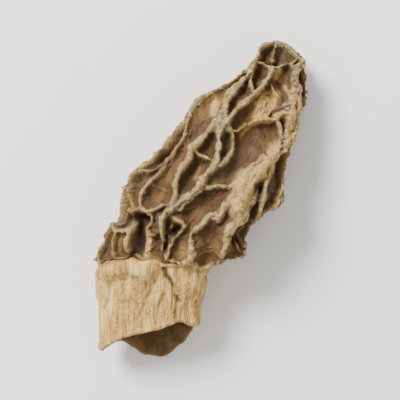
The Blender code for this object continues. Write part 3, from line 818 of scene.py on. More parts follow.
@dataclass
class RibNet:
    """The raised net of ribs, those of the upper side and the hidden ones, and the pits between them."""

    body: BareBody
    upper: tuple[Rib, ...]
    hidden: list[Rib]
    shade_and_light: tuple[Stroke, ...]
    # The ribs wander a little from their lines
    wander: Layers = ((0.5, 6.0, 11), (0.22, 2.2, 14), (0.13, 0.9, 27))
    # A crest's half-width as a share of its rib's, and its softness at the edge
    width: float = 0.8
    widths: Layers = ((0.3, 1.8, 24), (0.2, 0.8, 26))
    rib_edge: float = 9.0
    # How far a pit's wall runs out while it falls, from the steepest to the most sloping
    wall_runs: Span = (0.5, 2.0)
    wall_patches: Layer = (1.0, 5.0, 28)
    wall_spread: Span = (-0.5, 0.6)
    wall_curve: float = 0.85
    pit_depth: float = 4.6
    pit_depths: Layer = (0.5, 6.0, 17)
    pit_join: float = 1.0
    # Places where the pits are deeper (or shallower) than most, as (x, y, reach, extra depth)
    deep_places: Rows = (
        (16.2, 6.9, 3.5, 0.6), (26.9, 2.0, 2.0, 0.5), (34.1, -6.0, 2.5, 0.5), (29.2, -3.0, 2.5, 0.4),
        (30.2, 9.3, 4.5, -1.2), (47.2, -2.8, 1.5, 0.2), (20.3, 1.0, 3.0, 0.2), (-0.2, 6.0, 2.0, -1.6),
        (37.5, 0.4, 3.2, -1.8), (23.9, -11.4, 3.5, -0.8), (5.0, -11.0, 4.0, -1.6), (-2.4, 13.4, 3.4, -1.8),
        (44.5, -5.6, 2.6, -3.0), (38.0, -8.0, 2.2, -2.0), (19.5, -9.8, 2.6, -3.2), (12.0, -5.2, 1.8, -1.2))
    deep_heights: Span = (5.0, 9.0)
    nose: Span = (46.0, 49.0)
    nose_heights: Span = (8.0, 10.0)
    nose_depth: float = 2.0
    # The pits' floor: unevenness, and folds as (depth, size, seed, sharpness)
    floor_uneven: Layer = (0.35, (2.6, 2.0, 2.0), 23)
    floor_folds: tuple[Fold, ...] = ((0.5, 2.4, 25, 4), (0.35, (3.5, 0.9, 0.9), 29, 3))
    # The depths that a crest ends and is full at, its roughness, and the share of that in the pits
    crest_depths: Span = (1.2, 0.25)
    ragged: Layers = ((0.3, 4.5, 18), (0.22, 2.0, 19))
    ragged_fine: Layer = (0.16, 0.7, 20)
    fine_heights: Span = (8.0, 12.0)
    ragged_in_pits: float = 0.35
    # Crests of the hidden sides sink in places
    sunk: Layer = (0.9, 4.0, 42)
    most_raised: float = -0.3
    hidden_heights: Span = (12.0, 7.0)
    hidden_stations: Span = (44.0, 36.0)
    # Ribs at least this wide are pale and cracked, fading out over the span past their half-width
    broad: float = 1.2
    broad_span: Span = (2.8, 0.2)
    cracks: Fold = (0.5, 1.9, 38, 4)
    broad_uneven: Layer = (0.3, 1.1, 39)
    # Pleats that run down the pits' walls, and how far out they start and end
    pleats: Fold = (0.8, (1.0, 2.5, 0.7), 37, 2)
    pleat_span: Span = (0.3, 1.1)
    # The tones' wandering, their limit, and the heights that they fade in at
    tone_wander: Layer = (0.25, 1.5, 61)
    tone_limit: float = 1.2
    tone_heights: Span = (6.0, 10.0)
    # The sides and the underside have uneven patches of their own, painted paler overall as painted light
    # that lifts the shade they lie in
    side_shade_lift: float = 0.25
    patches: Layers = ((0.55, 5.5, 62), (0.2, 2.0, 63))
    patch_heights: Span = (11.0, 7.0)
    # A tone's relief, which dark tones between these don't give a crest
    tone_relief: float = 0.55
    dark_tones: Span = (0.0, 0.3)
    # A line is laid on the highest point this near
    near_enough: float = 0.35
    # The flesh left over the hollow, the least depth all the same, and how the depth grows from the margin
    least_flesh: float = 1.2
    least_limit: float = 0.15
    margin_reach: float = 0.6
    margin_growth: float = 1.3
    # A furrow at least this deep gets the full painted shade
    dark_depth: float = 3.0
    furrows: tuple[Stroke, ...] = strokes((
        (5.0, 10, 36, 116, 18, 97, -1, 83, -26, 73, -40, 72), (3.2, 5.5, 62, 53, 49, 45, 26, 31, 2, 20),
        (4.0, 8, 44, 104, 40, 93), (4.0, 8, 52, 18, 44, 22), (1.0, 6, 219, -99, 187, -102, 154, -111),
        (1.0, 6, 135, -52, 113, -49), (1.4, 4, 401, 81, 384, 83), (1.6, 4, 464, 24, 473, 2),
        (4.0, 10, 116, -96, 104, -100),
    ))

    def laid_on(self, skin: Skin, line: Pairs) -> Array:
        """Lays a line on the skin's upper side.

        Args:
            skin: the cap's bare skin.
            line: the line's (x, y) places, seen from above.

        Returns:
            The points of a smooth line through those places.
        """
        cap, laid = self.body.cap, []
        upper = skin.points[skin.points[:, 2] >= (cap.top.at(skin.at) + cap.bottom.at(skin.at)) / 2]
        for x, y in line:
            apart = np.hypot(upper[:, 0] - x, upper[:, 1] - y)
            near = upper[apart < apart.min() + self.near_enough]
            laid.append(near[np.argmax(near[:, 2])])
        return smooth_line(np.array(laid))

    def floor(self, skin: Skin, bent: Array) -> Array:
        """How deep a pit's floor lies.

        Args:
            skin: the cap's bare skin.
            bent: its points, moved so that lines wander.

        Returns:
            The depth at each point.
        """
        x, y, z = skin.points.T
        deepest = uneven(skin.points, self.pit_depths, base=self.pit_depth)
        for across, up, reach, extra in self.deep_places:
            deepest += extra * faded(np.hypot(x - across, y - up), reach) * share_of(*self.deep_heights, z)
        nose = share_of(*self.nose, skin.at) * (1 - share_of(*self.nose_heights, z))
        floor = uneven(skin.points, self.floor_uneven, base=deepest + (self.nose_depth - deepest) * nose)
        for depth, *fold in self.floor_folds:
            floor -= depth * wrinkles(bent, *fold)
        return floor

    def tone(self, points: Array) -> Array:
        """How much painted light (above 0) or painted shade each point of the upper side gets, with the
        uneven patches of the sides and the underside, painted paler overall.

        Args:
            points: the cap's points.

        Returns:
            The tone at each.
        """
        tone = np.zeros(len(points))
        for place, near in seen_from_above(wandering(points, self.tone_wander), self.shade_and_light):
            tone += place.amount * near
        tone = np.clip(tone, -self.tone_limit, self.tone_limit) * share_of(*self.tone_heights, points[:, 2])
        patches = uneven(points, *self.patches, base=self.side_shade_lift)
        return tone + patches * share_of(*self.patch_heights, points[:, 2])

    def fallen(self, skin: Skin, bent: Array) -> PitFacts:
        """Lets the skin fall from each rib's crest to the pits' floor, and keeps the least fall.

        Args:
            skin: the cap's bare skin.
            bent: its points, moved so that lines wander.

        Returns:
            The depth, the crests, the broad ribs and the places beside the ribs; no furrows or tone yet.
        """
        floor = self.floor(skin, bent)
        width = uneven(skin.points, *self.widths, base=self.width)
        sloping = share_of(*self.wall_spread, uneven(skin.points, self.wall_patches))
        run = self.wall_runs[0] + (self.wall_runs[1] - self.wall_runs[0]) * sloping
        nearest, second = np.full((2, len(bent)), FAR)
        band, cut, tone = np.zeros((3, len(bent)))
        beside = np.zeros((len(bent), 3))
        ribs = [Rib(rib.drops, rib.half, self.laid_on(skin, rib.line)) for rib in self.upper]
        for rib in ribs + self.hidden:
            raw, along = distance_to(bent, rib.line)
            off = np.logaddexp(0.0, (raw - rib.half * width) * self.rib_edge) / self.rib_edge
            drop = rib.drops[0] + (rib.drops[1] - rib.drops[0]) * along
            fall = drop + (floor - np.minimum(drop, 0)) * (1 - np.exp(-(off / run) ** self.wall_curve))
            length = np.linalg.norm(np.diff(rib.line, axis=0), axis=1).sum()
            closer = fall < nearest
            beside[closer] = np.column_stack((along * length, off, np.full(len(off), length)))[closer]
            second = np.minimum(second, np.maximum(nearest, fall))
            nearest = np.minimum(nearest, fall)
            if rib.half >= self.broad:
                band = np.maximum(band, share_of(*self.broad_span, raw - rib.half))
        blend = np.clip(1 - (second - nearest) / self.pit_join, 0, 1)
        depth = nearest - self.pit_join * blend * blend / 4
        return PitFacts(depth, share_of(*self.crest_depths, depth), band, beside, cut, tone)

    def roughen(self, facts: PitFacts, skin: Skin, bent: Array) -> None:
        """Roughens the crests, cracks the broad ribs and pleats the pits' walls.

        Args:
            facts: what the ribs leave; its depth is changed.
            skin: the cap's bare skin.
            bent: its points, moved so that lines wander.
        """
        depth, crest, points, z = facts.depth, facts.crest, skin.points, skin.points[:, 2]
        ragged = uneven(points, *self.ragged)
        ragged += uneven(points, self.ragged_fine) * share_of(*self.fine_heights, z)
        depth += ragged * (self.ragged_in_pits + (1 - self.ragged_in_pits) * crest)
        most, size, seed = self.sunk
        hidden = share_of(*self.hidden_heights, z) * share_of(*self.hidden_stations, skin.at)
        depth += most * np.maximum(Unevenness(size, seed).values(points), self.most_raised) * hidden * crest
        most, *fold = self.cracks
        depth += uneven(bent, self.broad_uneven, base=most * wrinkles(bent, *fold)) * facts.band * crest
        most, *fold = self.pleats
        out = facts.beside[:, 1]
        wall = np.exp(-out / self.pleat_span[1]) * (1 - np.exp(-out / self.pleat_span[0]))
        depth += most * wall * wrinkles(facts.beside, *fold)

    def press(self, skin: Skin) -> PitFacts:
        """Presses the skin in between the ribs.

        Args:
            skin: the cap's bare skin.

        Returns:
            The depth at each point, and the masks of crests, broad ribs, furrows and tones.
        """
        bent = wandering(skin.points, *self.wander)
        facts = self.fallen(skin, bent)
        self.roughen(facts, skin, bent)
        tone = facts.tone = self.tone(skin.points)
        facts.depth -= self.tone_relief * tone * (1 - facts.crest * share_of(*self.dark_tones, -tone))
        body = self.body
        over_hollow = body.room(skin, body.hollow_at(skin.at)) - self.least_flesh
        margin = body.margin.at(np.degrees(skin.angles) % 360)
        above = np.clip(skin.at - margin - self.margin_reach, 0, None)
        over_stem = body.room(skin, body.stem.at(skin.at)) + self.margin_growth * above
        facts.depth = held_to(facts.depth, np.maximum(np.minimum(over_hollow, over_stem), self.least_limit))
        # A furrow sinks the skin, and its mask darkens it with painted shade
        for furrow in self.furrows:
            near = faded(distance_to(bent, self.laid_on(skin, furrow.line))[0], furrow.half)
            facts.depth += furrow.amount * near
            facts.furrow = np.maximum(facts.furrow, min(1.0, furrow.amount / self.dark_depth) * near)
        facts.depth = held_to(facts.depth, np.maximum(over_hollow, self.least_limit))
        return facts


# The ribs of the upper side, laid on the skin from above. Each row is the drop at the first and the last
# place, the half-width, and the places' x and y, in tenths of a millimetre.
UPPER_RIBS = tuple(Rib((row[0] / 10, row[1] / 10), row[2] / 10, tenths(row[3:])) for row in (
    (-4, -4, 6, 451, 51, 468, 49, 491, 50, 510, 37, 524, 14, 522, -9, 513, -31, 507, -49),
    (5, 5, 3.5, 515, 25, 493, 20, 470, 14, 462, 11),
    (3, 3, 5, 451, 51, 460, 39, 460, 22, 463, 8, 473, -3, 484, -9, 490, -23, 507, -34),
    (2, 2, 5, 490, -23, 477, -39, 459, -47, 436, -52, 415, -56, 400, -53),
    (6, 16, 2.5, 462, 11, 440, 3, 423, -15, 411, -34, 400, -53),
    (1, 1, 5, 451, 51, 430, 50, 414, 45, 401, 30, 386, 20),
    (-5, -5, 6, 463, 8, 438, 4, 413, 8, 386, 16, 362, 30, 333, 41, 310, 48, 295, 48, 278, 44, 254, 34, 226,
      26, 193, 31, 150, 34, 121, 52, 98, 57, 75, 63, 55, 57, 36, 41, 15, 24, -5, 10),
    (0, 0, 8.5, 451, 51, 426, 55, 389, 60, 352, 62, 324, 59, 300, 61, 256, 72, 224, 81),
    (0, 0, 5, 224, 81, 199, 76, 171, 81, 147, 83, 124, 74, 100, 68, 75, 63),
    (0, 0, 5, 426, 55, 423, 78, 384, 80, 349, 103, 313, 121, 290, 132, 224, 137, 176, 147, 144, 160, 121,
      175, 94, 178, 73, 168),
    (2, 6, 3, 280, 126, 263, 123, 246, 113, 229, 104, 210, 109, 185, 121, 164, 131, 143, 144, 131, 162, 119,
      174),
    (4, 4, 4, 205, 112, 167, 117, 152, 124, 119, 132, 90, 137, 68, 127, 58, 113, 64, 92, 80, 81, 94, 67),
    (12, 26, 5, 110, 131, 116, 104, 120, 80), (8, 8, 4, 73, 168, 60, 153, 52, 138, 57, 121),
    (8, 36, 2, 339, 65, 345, 48, 347, 30), (3, 3, 4, 224, 81, 220, 59, 223, 40, 227, 27),
    (2, 2, 5.5, 301, 49, 300, 35, 304, 18, 317, 6, 335, -7, 349, -22, 359, -38, 370, -49, 388, -62, 396, -77),
    (4, 12, 2.5, 400, -53, 387, -43, 370, -32, 359, -38),
    (0, 0, 5, 300, 35, 295, 20, 280, 10, 255, 7, 233, 13, 214, 20, 193, 31),
    (42, 32, 9, 252, -2, 255, -19, 246, -37), (32, 46, 9, 335, -26, 313, -49, 294, -55, 278, -68),
    (0, 0, 6, 367, -50, 360, -67, 336, -79, 311, -80, 285, -75, 268, -65, 256, -49, 244, -44),
    (2, 2, 4, 211, -36, 194, -25, 177, 1, 165, 17, 147, 30, 118, 43, 92, 47),
    (0, 0, 12.5, 507, -49, 476, -43, 446, -58, 428, -74, 404, -92, 380, -103, 358, -105, 337, -104, 320, -98,
      299, -86), (2, 2, 10, 429, -55, 406, -67, 384, -83, 357, -89, 333, -87),
    (6, 6, 4, 507, -49, 486, -62, 466, -81, 442, -86, 423, -79), (-3, -1, 12, 300, -89, 276, -82, 250, -71),
    (-1, 2, 19, 250, -71, 225, -62, 196, -61, 169, -63), (1, 3, 15, 274, -68, 240, -54, 205, -48, 176, -54),
    (-3, -1, 6, 264, -66, 245, -47, 222, -36, 202, -33, 181, -42),
    (-2, -2, 12, 160, -69, 149, -87, 126, -81, 111, -72),
    (2, 2, 4, 319, -102, 290, -95, 263, -93, 232, -101, 194, -113, 156, -122),
    (0, 0, 4, 341, -106, 305, -115, 275, -128, 251, -141, 219, -143, 185, -140, 156, -122),
    (0, 0, 7, 181, -42, 153, -37, 126, -36, 107, -21, 86, -13, 63, -9, 38, -20, 18, -28, -1, -23),
    (16, 38, 5, 97, 39, 112, 17, 118, -10),
    (4, 4, 3.5, 74, 50, 73, 31, 67, 12, 55, 10, 37, 16, 17, 19, -4, 8),
    (2, 2, 4, -7, 9, -3, -19, 7, -34, 3, -67, 9, -93, 27, -114, 51, -131, 73, -137, 86, -129),
    (1, 1, 6, 111, -72, 83, -75, 55, -80, 30, -82, 8, -76), (12, 30, 2.5, 52, -23, 48, -43, 40, -62),
    (12, 12, 5, 132, -101, 107, -102, 87, -120, 74, -135),
    (8, 8, 3, 41, 120, 51, 108, 55, 90, 51, 80, 39, 85, 25, 85), (8, 8, 3, 51, 80, 59, 69, 55, 57),
    (10, 10, 3.5, 40, 52, 22, 68, 18, 84, -1, 78, -21, 58), (8, 8, 3.5, 40, 52, 22, 39, -1, 25),
    (8, 8, 5, 4, 158, 38, 149, 48, 124), (4, 4, 4, 4, 158, -19, 163, -48, 161, -74, 154, -92, 144),
    (8, 8, 5, 1, 144, -22, 140, -46, 129, -67, 112), (5, 5, 6, 20, 115, 6, 116, -19, 106, -49, 86),
    (6, 6, 5.5, 4, 158, 1, 144, 9, 128, 20, 115, 35, 114),
    (5, 5, 3.5, -92, 144, -80, 131, -67, 112, -49, 86, -44, 72),
))

# Painted shade (below 0) and painted light on the upper side; a stroke of painted shade also sinks the skin a
# little, and one of painted light raises it
SHADE_AND_LIGHT_STROKES = strokes((
    (-0.9, 5, 408, 53, 406, 35, 385, 26), (-0.6, 3.5, 345, 59, 355, 36), (-0.4, 10, 325, 60, 340, 42),
    (-1.0, 3.5, 440, -12, 426, -34, 408, -49), (-0.8, 4.5, 488, -18, 466, -35, 443, -45),
    (-0.8, 7, 439, 52, 452, 42, 450, 21), (-0.6, 8, 469, 40, 484, 37, 500, 28),
    (-0.6, 8, 502, 4, 517, 3, 520, -9), (-1.0, 4, 430, 70, 423, 61), (-1.0, 3.5, 408, 84, 386, 83),
    (-0.9, 3, 465, 26, 472, 7), (-0.6, 4, 481, -5, 482, -18), (-0.7, 3, 325, 28, 317, 10),
    (-1.0, 10, 289, 32, 272, 21, 248, 19), (-0.5, 13, 254, -9, 224, 6, 182, 15),
    (-0.9, 3.5, 314, -26, 306, -44, 294, -53, 282, -68), (-0.3, 12, 287, -29, 272, -42),
    (-0.6, 4.5, 336, -31, 352, -45, 359, -64, 336, -79, 315, -82),
    (-1.0, 3.5, 401, -56, 383, -40, 368, -31, 359, -36), (-0.8, 3.5, 246, -36, 254, -52, 270, -60),
    (-1.1, 8, 213, -91, 188, -98, 168, -98), (-0.5, 5, 313, -88, 286, -91, 257, -90),
    (-0.3, 14, 258, -112, 229, -116, 192, -127), (-1.1, 7, 250, 127, 203, 130, 175, 139, 159, 153),
    (-0.9, 6, 177, 114, 155, 125, 126, 135), (-1.0, 9, 86, 168, 88, 149, 106, 147),
    (-1.1, 8, 175, 76, 148, 73, 124, 66, 104, 61), (-0.9, 7, 193, 63, 164, 64), (-0.6, 4, 106, 125, 111, 105),
    (-0.8, 10, 288, 65, 263, 75, 256, 62), (-0.8, 6, 92, 72, 75, 94), (-1.3, 6, 17, 97, -7, 77, -31, 70),
    (-1.1, 6, 44, 104, 30, 98, 41, 87), (-1.1, 5, 61, 83, 54, 80), (-1.1, 6, 90, 70, 76, 75),
    (-0.9, 5, 32, 79, 41, 67), (-1.1, 4, 64, 51, 42, 38, 10, 24), (-1.2, 7, 51, 27, 44, 18),
    (-0.9, 6, 58, 8, 69, -3, 63, -12), (-1.0, 8, 12, 105, -15, 91, -33, 84), (-0.6, 6, -43, 155, -65, 144),
    (-0.5, 13, 22, 145, 5, 156), (-0.5, 4, -30, 130, -40, 123), (0.4, 8, 424, 27, 417, 21),
    (1.0, 9, 465, -7, 456, -6, 445, -7), (0.4, 5, 437, -34, 421, -45),
    (0.35, 10, 419, 75, 385, 75, 356, 76, 330, 71, 289, 69), (0.5, 10, 343, 89, 310, 77),
    (0.6, 5, 302, 124, 338, 109), (0.8, 16, 418, -19, 392, -18, 356, -9),
    (1.0, 17, 277, -79, 250, -71, 231, -50, 189, -58, 159, -65),
    (0.6, 12, 419, -63, 382, -85, 341, -99, 305, -104, 264, -103),
    (0.8, 6, 304, 3, 326, -5, 347, -19, 353, -39, 366, -49), (0.9, 9, 375, -44, 385, -75),
    (0.7, 16, 392, -13, 363, -22), (0.4, 13, 325, -57, 302, -77), (0.6, 2.5, 256, 125, 241, 111, 224, 105),
    (0.6, 2.5, 256, 105, 237, 98, 221, 101), (0.35, 13, 219, 88, 177, 94, 141, 97),
    (0.5, 10, 110, 92, 92, 94), (0.7, 8, 196, 47, 173, 47), (0.45, 16, 328, 86, 300, 97),
    (0.6, 7, -14, 128, -44, 115), (0.7, 4, -29, 146, -54, 127), (0.9, 5, 18, 79, -15, 60),
    (0.3, 15, 25, -4, 17, -11), (0.3, 13, 108, 15, 105, 5), (0.9, 10, 17, 73, -2, 63, -21, 53),
    (0.5, 26, 45, -55, 65, -95), (0.4, 22, 25, -10, 15, -45), (0.35, 18, 400, -8, 365, 12, 335, 18),
))


def raised(points: Array, places: Rows, heights: Span = (6.0, 12.0)) -> Array:
    """Raises the upper side in places.

    Args:
        points: the points.
        places: each place's x, y, reach along x, reach along y, and height.
        heights: the heights that the upper side starts and is full at.

    Returns:
        How far each point is raised.
    """
    height = np.zeros(len(points))
    for x, y, long, wide, high in places:
        height += high * np.exp(-((points[:, 0] - x) / long) ** 2 - ((points[:, 1] - y) / wide) ** 2)
    return height * share_of(*heights, points[:, 2])


@dataclass
class StemSkin:
    """The stem's fibrous skin: bulges, creases, and furrows that run along it."""

    lean: float = 28.0
    # The skin sinks no further than this into the stem's wall
    most_sunk: float = 0.85
    bulges: Rows = (
        (-4.4, 4.6, 2.8, 3.4, 2.3), (-7.6, 10.8, 2.6, 2.6, 1.5),
        (-3.2, -4.6, 3.2, 2.8, 1.3), (-12.0, -9.8, 2.2, 2.2, 1.0),
        (-14.5, -2.4, 3.4, 2.2, -0.7))
    # A bulge's skin is stretched smoother
    stretched: Span = (0.4, 1.4)
    most_stretched: float = 0.75
    creases: tuple[Stroke, ...] = strokes((
        (1.1, 4.5, 4, 16, -16, 13, -32, 5, -44, -10, -52, -25),
        (0.45, 12, -36, 83, -49, 82, -64, 74, -84, 64), (0.3, 14, -84, 64, -78, 42, -64, 22, -46, 9),
        (0.25, 14, -120, 124, -110, 98, -84, 64), (1.0, 4.5, -71, -41, -77, -48),
        (0.6, 3.5, -111, 104, -138, 92, -168, 87), (0.5, 3.5, -63, 14, -96, 13, -152, 12),
        (0.5, 3.5, -80, -16, -116, -18, -145, -25), (0.55, 4, -52, -25, -97, -53, -124, -65),
    ))
    crease_heights: Span = (10.0, 14.0)
    crease_wander: Layer = (0.3, 1.5, 55)
    # A crease at most this wide gets a line of painted shade in it
    narrow: float = 0.6
    hills: Layer = (0.5, 7.0, 32)
    # The fibres' own layers are drawn out along the stem and bend a little
    fibre_bend: Layer = (0.5, 4.0, 35)
    fibres: Layer = (0.5, (7.0, 1.7, 1.7), 31)
    folds: tuple[Fold, ...] = ((0.5, (6.0, 1.3, 1.3), 33, 3), (0.22, (3.0, 0.6, 0.6), 36, 3))
    fine_fibres: Layer = (0.12, (1.4, 0.4, 0.4), 34)
    # The relief fades out over these shares of the rings below the cap and before the torn end
    eased: Span = (0.009, 0.012)

    def turned(self, points: Array) -> Array:
        """The points turned so that the stem runs along x."""
        cos, sin = math.cos(math.radians(-self.lean)), math.sin(math.radians(-self.lean))
        return points @ np.array([(cos, -sin, 0), (sin, cos, 0), (0, 0, 1)]).T

    def relief(self, points: Array) -> tuple[Array, Array]:
        """Forms the stem's skin.

        Args:
            points: the stem's points.

        Returns:
            How far each point stands out, and the painted shade that a narrow crease gives it.
        """
        height = raised(points, self.bulges)
        rough = 1 - self.most_stretched * share_of(*self.stretched, height)
        upper = share_of(*self.crease_heights, points[:, 2])
        dark = np.zeros(len(points))
        for crease, near in seen_from_above(wandering(points, self.crease_wander), self.creases):
            sunk = crease.amount * near * upper
            height -= sunk
            # A narrow crease gets painted shade as deep as it sinks
            if crease.half <= self.narrow:
                dark = np.maximum(dark, sunk)
        bend, size, seed = self.fibre_bend
        along = self.turned(points) + bend * Unevenness(size, seed).vectors(points)
        height = uneven(points, self.hills, base=height)
        fibres = uneven(along, self.fibres)
        for depth, *fold in self.folds:
            fibres -= depth * wrinkles(along, *fold)
        height += rough * uneven(along, self.fine_fibres, base=fibres)
        return -held_to(-height, self.most_sunk), dark


class Detail(Enum):
    """How finely the piece is modelled: rings, segments and the most triangles left."""

    FINE = (900, 680, 190_000)
    QUICK = (520, 400, 120_000)


@dataclass
class Mushroom:
    """The whole mushroom as one closed piece."""

    detail: Detail
    body: BareBody = field(default_factory=BareBody)
    stem: StemSkin = field(default_factory=StemSkin)
    finish: DriedFlesh = field(default_factory=DriedFlesh)
    swells: Rows = (
        (-2.0, 13.0, 4.5, 3.0, 1.0), (24.0, -6.0, 7.0, 3.0, 0.9),
        (14.0, -7.0, 4.0, 3.0, 0.6), (26.0, 3.6, 12.0, 2.6, 0.5))
    cap_hills: Layer = (0.35, 8.0, 21)
    # Drying warped the whole piece, by this much along x, y and z
    warp: Triple = (0.7, 0.6, 0.6)
    warp_size: float = 13.0
    warp_seed: int = 41
    # Ribs of the upper side stand up more than straight out of the skin
    upward: float = 0.6
    upward_from: float = 0.5
    # Nothing hangs lower than this, so the ribs of the underside have flat spots to rest on
    floor_trim: float = 0.85
    # Painted shade in the hollows and painted highlights on the edges follow the mean height of this many
    # grid points each way, in the fine detail
    shade_reach: int = 24
    highlight_reach: int = 7
    shade_span: Span = (0.1, 1.6)
    highlight_span: Span = (0.05, 0.5)
    # The stem's colour starts over these shares of the rings past the cap
    stem_span: Span = (0.004, 0.03)
    # The places painted lightest, as painted light, take the broad ribs' straw colour, and broad ribs under
    # painted shade don't
    pale_span: Span = (0.75, 1.0)
    band_span: Span = (0.4, 0.8)

    @staticmethod
    def normalised(vectors: Array) -> Array:
        """The vectors at length 1."""
        return vectors / np.maximum(np.linalg.norm(vectors, axis=-1, keepdims=True), 1e-9)

    def outward(self, points: Array, counts: tuple[int, int]) -> Array:
        """Each point's normal on the bare body, from its neighbours along and round it.

        Args:
            points: the grid's points.
            counts: its rings and segments.

        Returns:
            The normals.
        """
        grid = points.reshape(*counts, 3)
        across = (np.roll(grid, -1, axis=1) - np.roll(grid, 1, axis=1)) / 2
        return self.normalised(np.cross(np.gradient(grid, axis=0), across)).reshape(-1, 3)

    def formed(self, counts: tuple[int, int]) -> tuple[Array, dict[str, Array]]:
        """Forms the whole skin.

        Args:
            counts: the grid's rings and segments.

        Returns:
            The points of the grid, and the masks that the material reads.
        """
        body = self.body
        shares = np.arange(counts[0]) / (counts[0] - 1)
        turns = np.arange(counts[1]) / counts[1] * math.tau
        rings, angles = (side.ravel() for side in np.meshgrid(shares, turns, indexing="ij"))
        whole, (in_cap, to_tuck, _, to_lip) = body.skin(rings, angles)
        tucked, in_stem = to_tuck & ~in_cap, to_lip & ~to_tuck
        skin = whole.points
        normal = self.outward(skin, counts)
        net = RibNet(body, UPPER_RIBS, HiddenRibs(body).build(), SHADE_AND_LIGHT_STROKES)
        facts = net.press(whole.part(in_cap))
        push = np.zeros(len(skin))
        bare = skin[in_cap]
        push[in_cap] = uneven(bare, self.cap_hills, base=raised(bare, self.swells) - facts.depth)
        # The cap's last ring carries its form on round the margin
        edge = push.reshape(counts)[int(body.cap_share * (counts[0] - 1))]
        fade = 1 - share_of(body.cap_share, body.tuck_share, rings)
        push[tucked] = (np.tile(edge, (counts[0], 1)).ravel() * fade)[tucked]
        below_cap, before_lip = self.stem.eased
        eased = share_of(body.tuck_share, body.tuck_share + below_cap, rings[in_stem])
        eased *= share_of(body.lip_share, body.stem_share - before_lip, rings[in_stem])
        relief, dark = self.stem.relief(skin[in_stem])
        push[in_stem] = relief * eased
        rising = self.upward * share_of(0.0, self.upward_from, normal[:, 2]) * in_cap
        normal = self.normalised(normal + rising[:, None] * (0, 0, 1))
        shape = skin + normal * push[:, None]
        shape += Unevenness(self.warp_size, self.warp_seed).vectors(shape) * self.warp
        shape[:, 2] = np.maximum(shape[:, 2], self.floor_trim)
        height = ((shape - skin) * normal).sum(axis=1).reshape(counts)
        masks = self.painted(height, rings, facts, in_cap)
        # The stem's narrow creases get painted shade
        masks["furrow"][in_stem] = dark * eased
        return shape, masks

    @staticmethod
    def averaged(grid: Array, reach: int) -> Array:
        """Smooths values on the grid.

        Args:
            grid: the values, one row for each ring.
            reach: how many rows and columns to take in each way.

        Returns:
            The mean round each point.
        """
        for axis, mode in enumerate(("edge", "wrap")):
            pad = [(0, 0), (0, 0)]
            pad[axis] = (reach + 1, reach)
            sums = np.moveaxis(np.pad(grid, pad, mode=mode).cumsum(axis=axis), axis, 0)
            grid = np.moveaxis((sums[2 * reach + 1:] - sums[:-2 * reach - 1]) / (2 * reach + 1), 0, axis)
        return grid

    def painted(self, height: Array, rings: Array, facts: PitFacts, in_cap: Array) -> dict[str, Array]:
        """The masks that the material reads.

        Args:
            height: how far the skin stands out from the bare body, on the grid.
            rings: each point's share of the way from the tip to the hollow's end.
            facts: what the pits leave.
            in_cap: which points those are.

        Returns:
            Each mask by its name, from 0 to 1 at every point.
        """
        body = self.body
        masks = {}
        for name in ("crest", "band", "furrow", "tone"):
            masks[name] = np.zeros(len(rings))
            masks[name][in_cap] = getattr(facts, name)
        masks["tone"] = 0.5 + masks["tone"] / 2
        scale = len(height) / Detail.FINE.value[0]
        # Painted shade where the skin lies below its neighbours' mean height, and painted highlight where it
        # stands above it
        low, blunt = (
            (self.averaged(height, round(reach * scale)) - height).ravel()
            for reach in (self.shade_reach, self.highlight_reach))
        masks["hollow"] = share_of(*self.shade_span, low)
        masks["edge"] = share_of(*self.highlight_span, -blunt)
        masks["lining"] = share_of(body.stem_share, body.lip_share, rings)
        start, full = (body.cap_share + past for past in self.stem_span)
        masks["stem"] = share_of(start, full, rings) * (1 - masks["lining"])
        pale = np.maximum(masks["band"], share_of(*self.pale_span, masks["tone"]))
        masks["band"] = pale * share_of(*self.band_span, masks["tone"])
        return masks

    @staticmethod
    def closed_grid(rings: int, segments: int) -> bpy.types.Mesh:
        """A flat grid whose x runs along the rings and y round them, joined at its seam and its two poles.

        Args:
            rings: how many rows of faces it has from pole to pole.
            segments: how many faces go round.

        Returns:
            The mesh.
        """
        bm = bmesh.new()
        bmesh.ops.create_grid(bm, x_segments=rings, y_segments=segments, size=1.0)
        first: dict[int, bmesh.types.BMVert] = {}
        joined = {}
        for vert in sorted(bm.verts, key=lambda v: v.co.y):
            ring = round((vert.co.x + 1) / 2 * rings)
            if ring not in first:
                first[ring] = vert
            elif ring in (0, rings) or vert.co.y > 1 - 1 / segments:
                joined[vert] = first[ring]
        bmesh.ops.weld_verts(bm, targetmap=joined)
        mesh = bpy.data.meshes.new("rough_morel")
        bm.to_mesh(mesh)
        bm.free()
        return mesh

    def drawn_out(self) -> bpy.types.Mesh:
        """Draws a closed grid out into the mushroom.

        Returns:
            The mesh in metres, with the masks as attributes.
        """
        ring_count, segments, _ = self.detail.value
        mesh = self.closed_grid(ring_count, segments)
        at = np.empty(len(mesh.vertices) * 3)
        mesh.vertices.foreach_get("co", at)
        ring, turn = np.rint((at.reshape(-1, 3)[:, :2].T + 1) / 2 * [[ring_count], [segments]]).astype(int)
        counts = (ring_count + 1, segments)
        shape, masks = self.formed(counts)
        shape = shape.reshape(*counts, 3)
        placed = shape[ring, turn]
        for pole in (0, ring_count):
            placed[ring == pole] = shape[pole].mean(axis=0)
        mesh.vertices.foreach_set("co", (placed * MM).astype(np.float32).ravel())
        for name, values in masks.items():
            layer = mesh.attributes.new(name, "FLOAT", "POINT")
            layer.data.foreach_set("value", values.reshape(counts)[ring, turn].astype(np.float32))
        return mesh

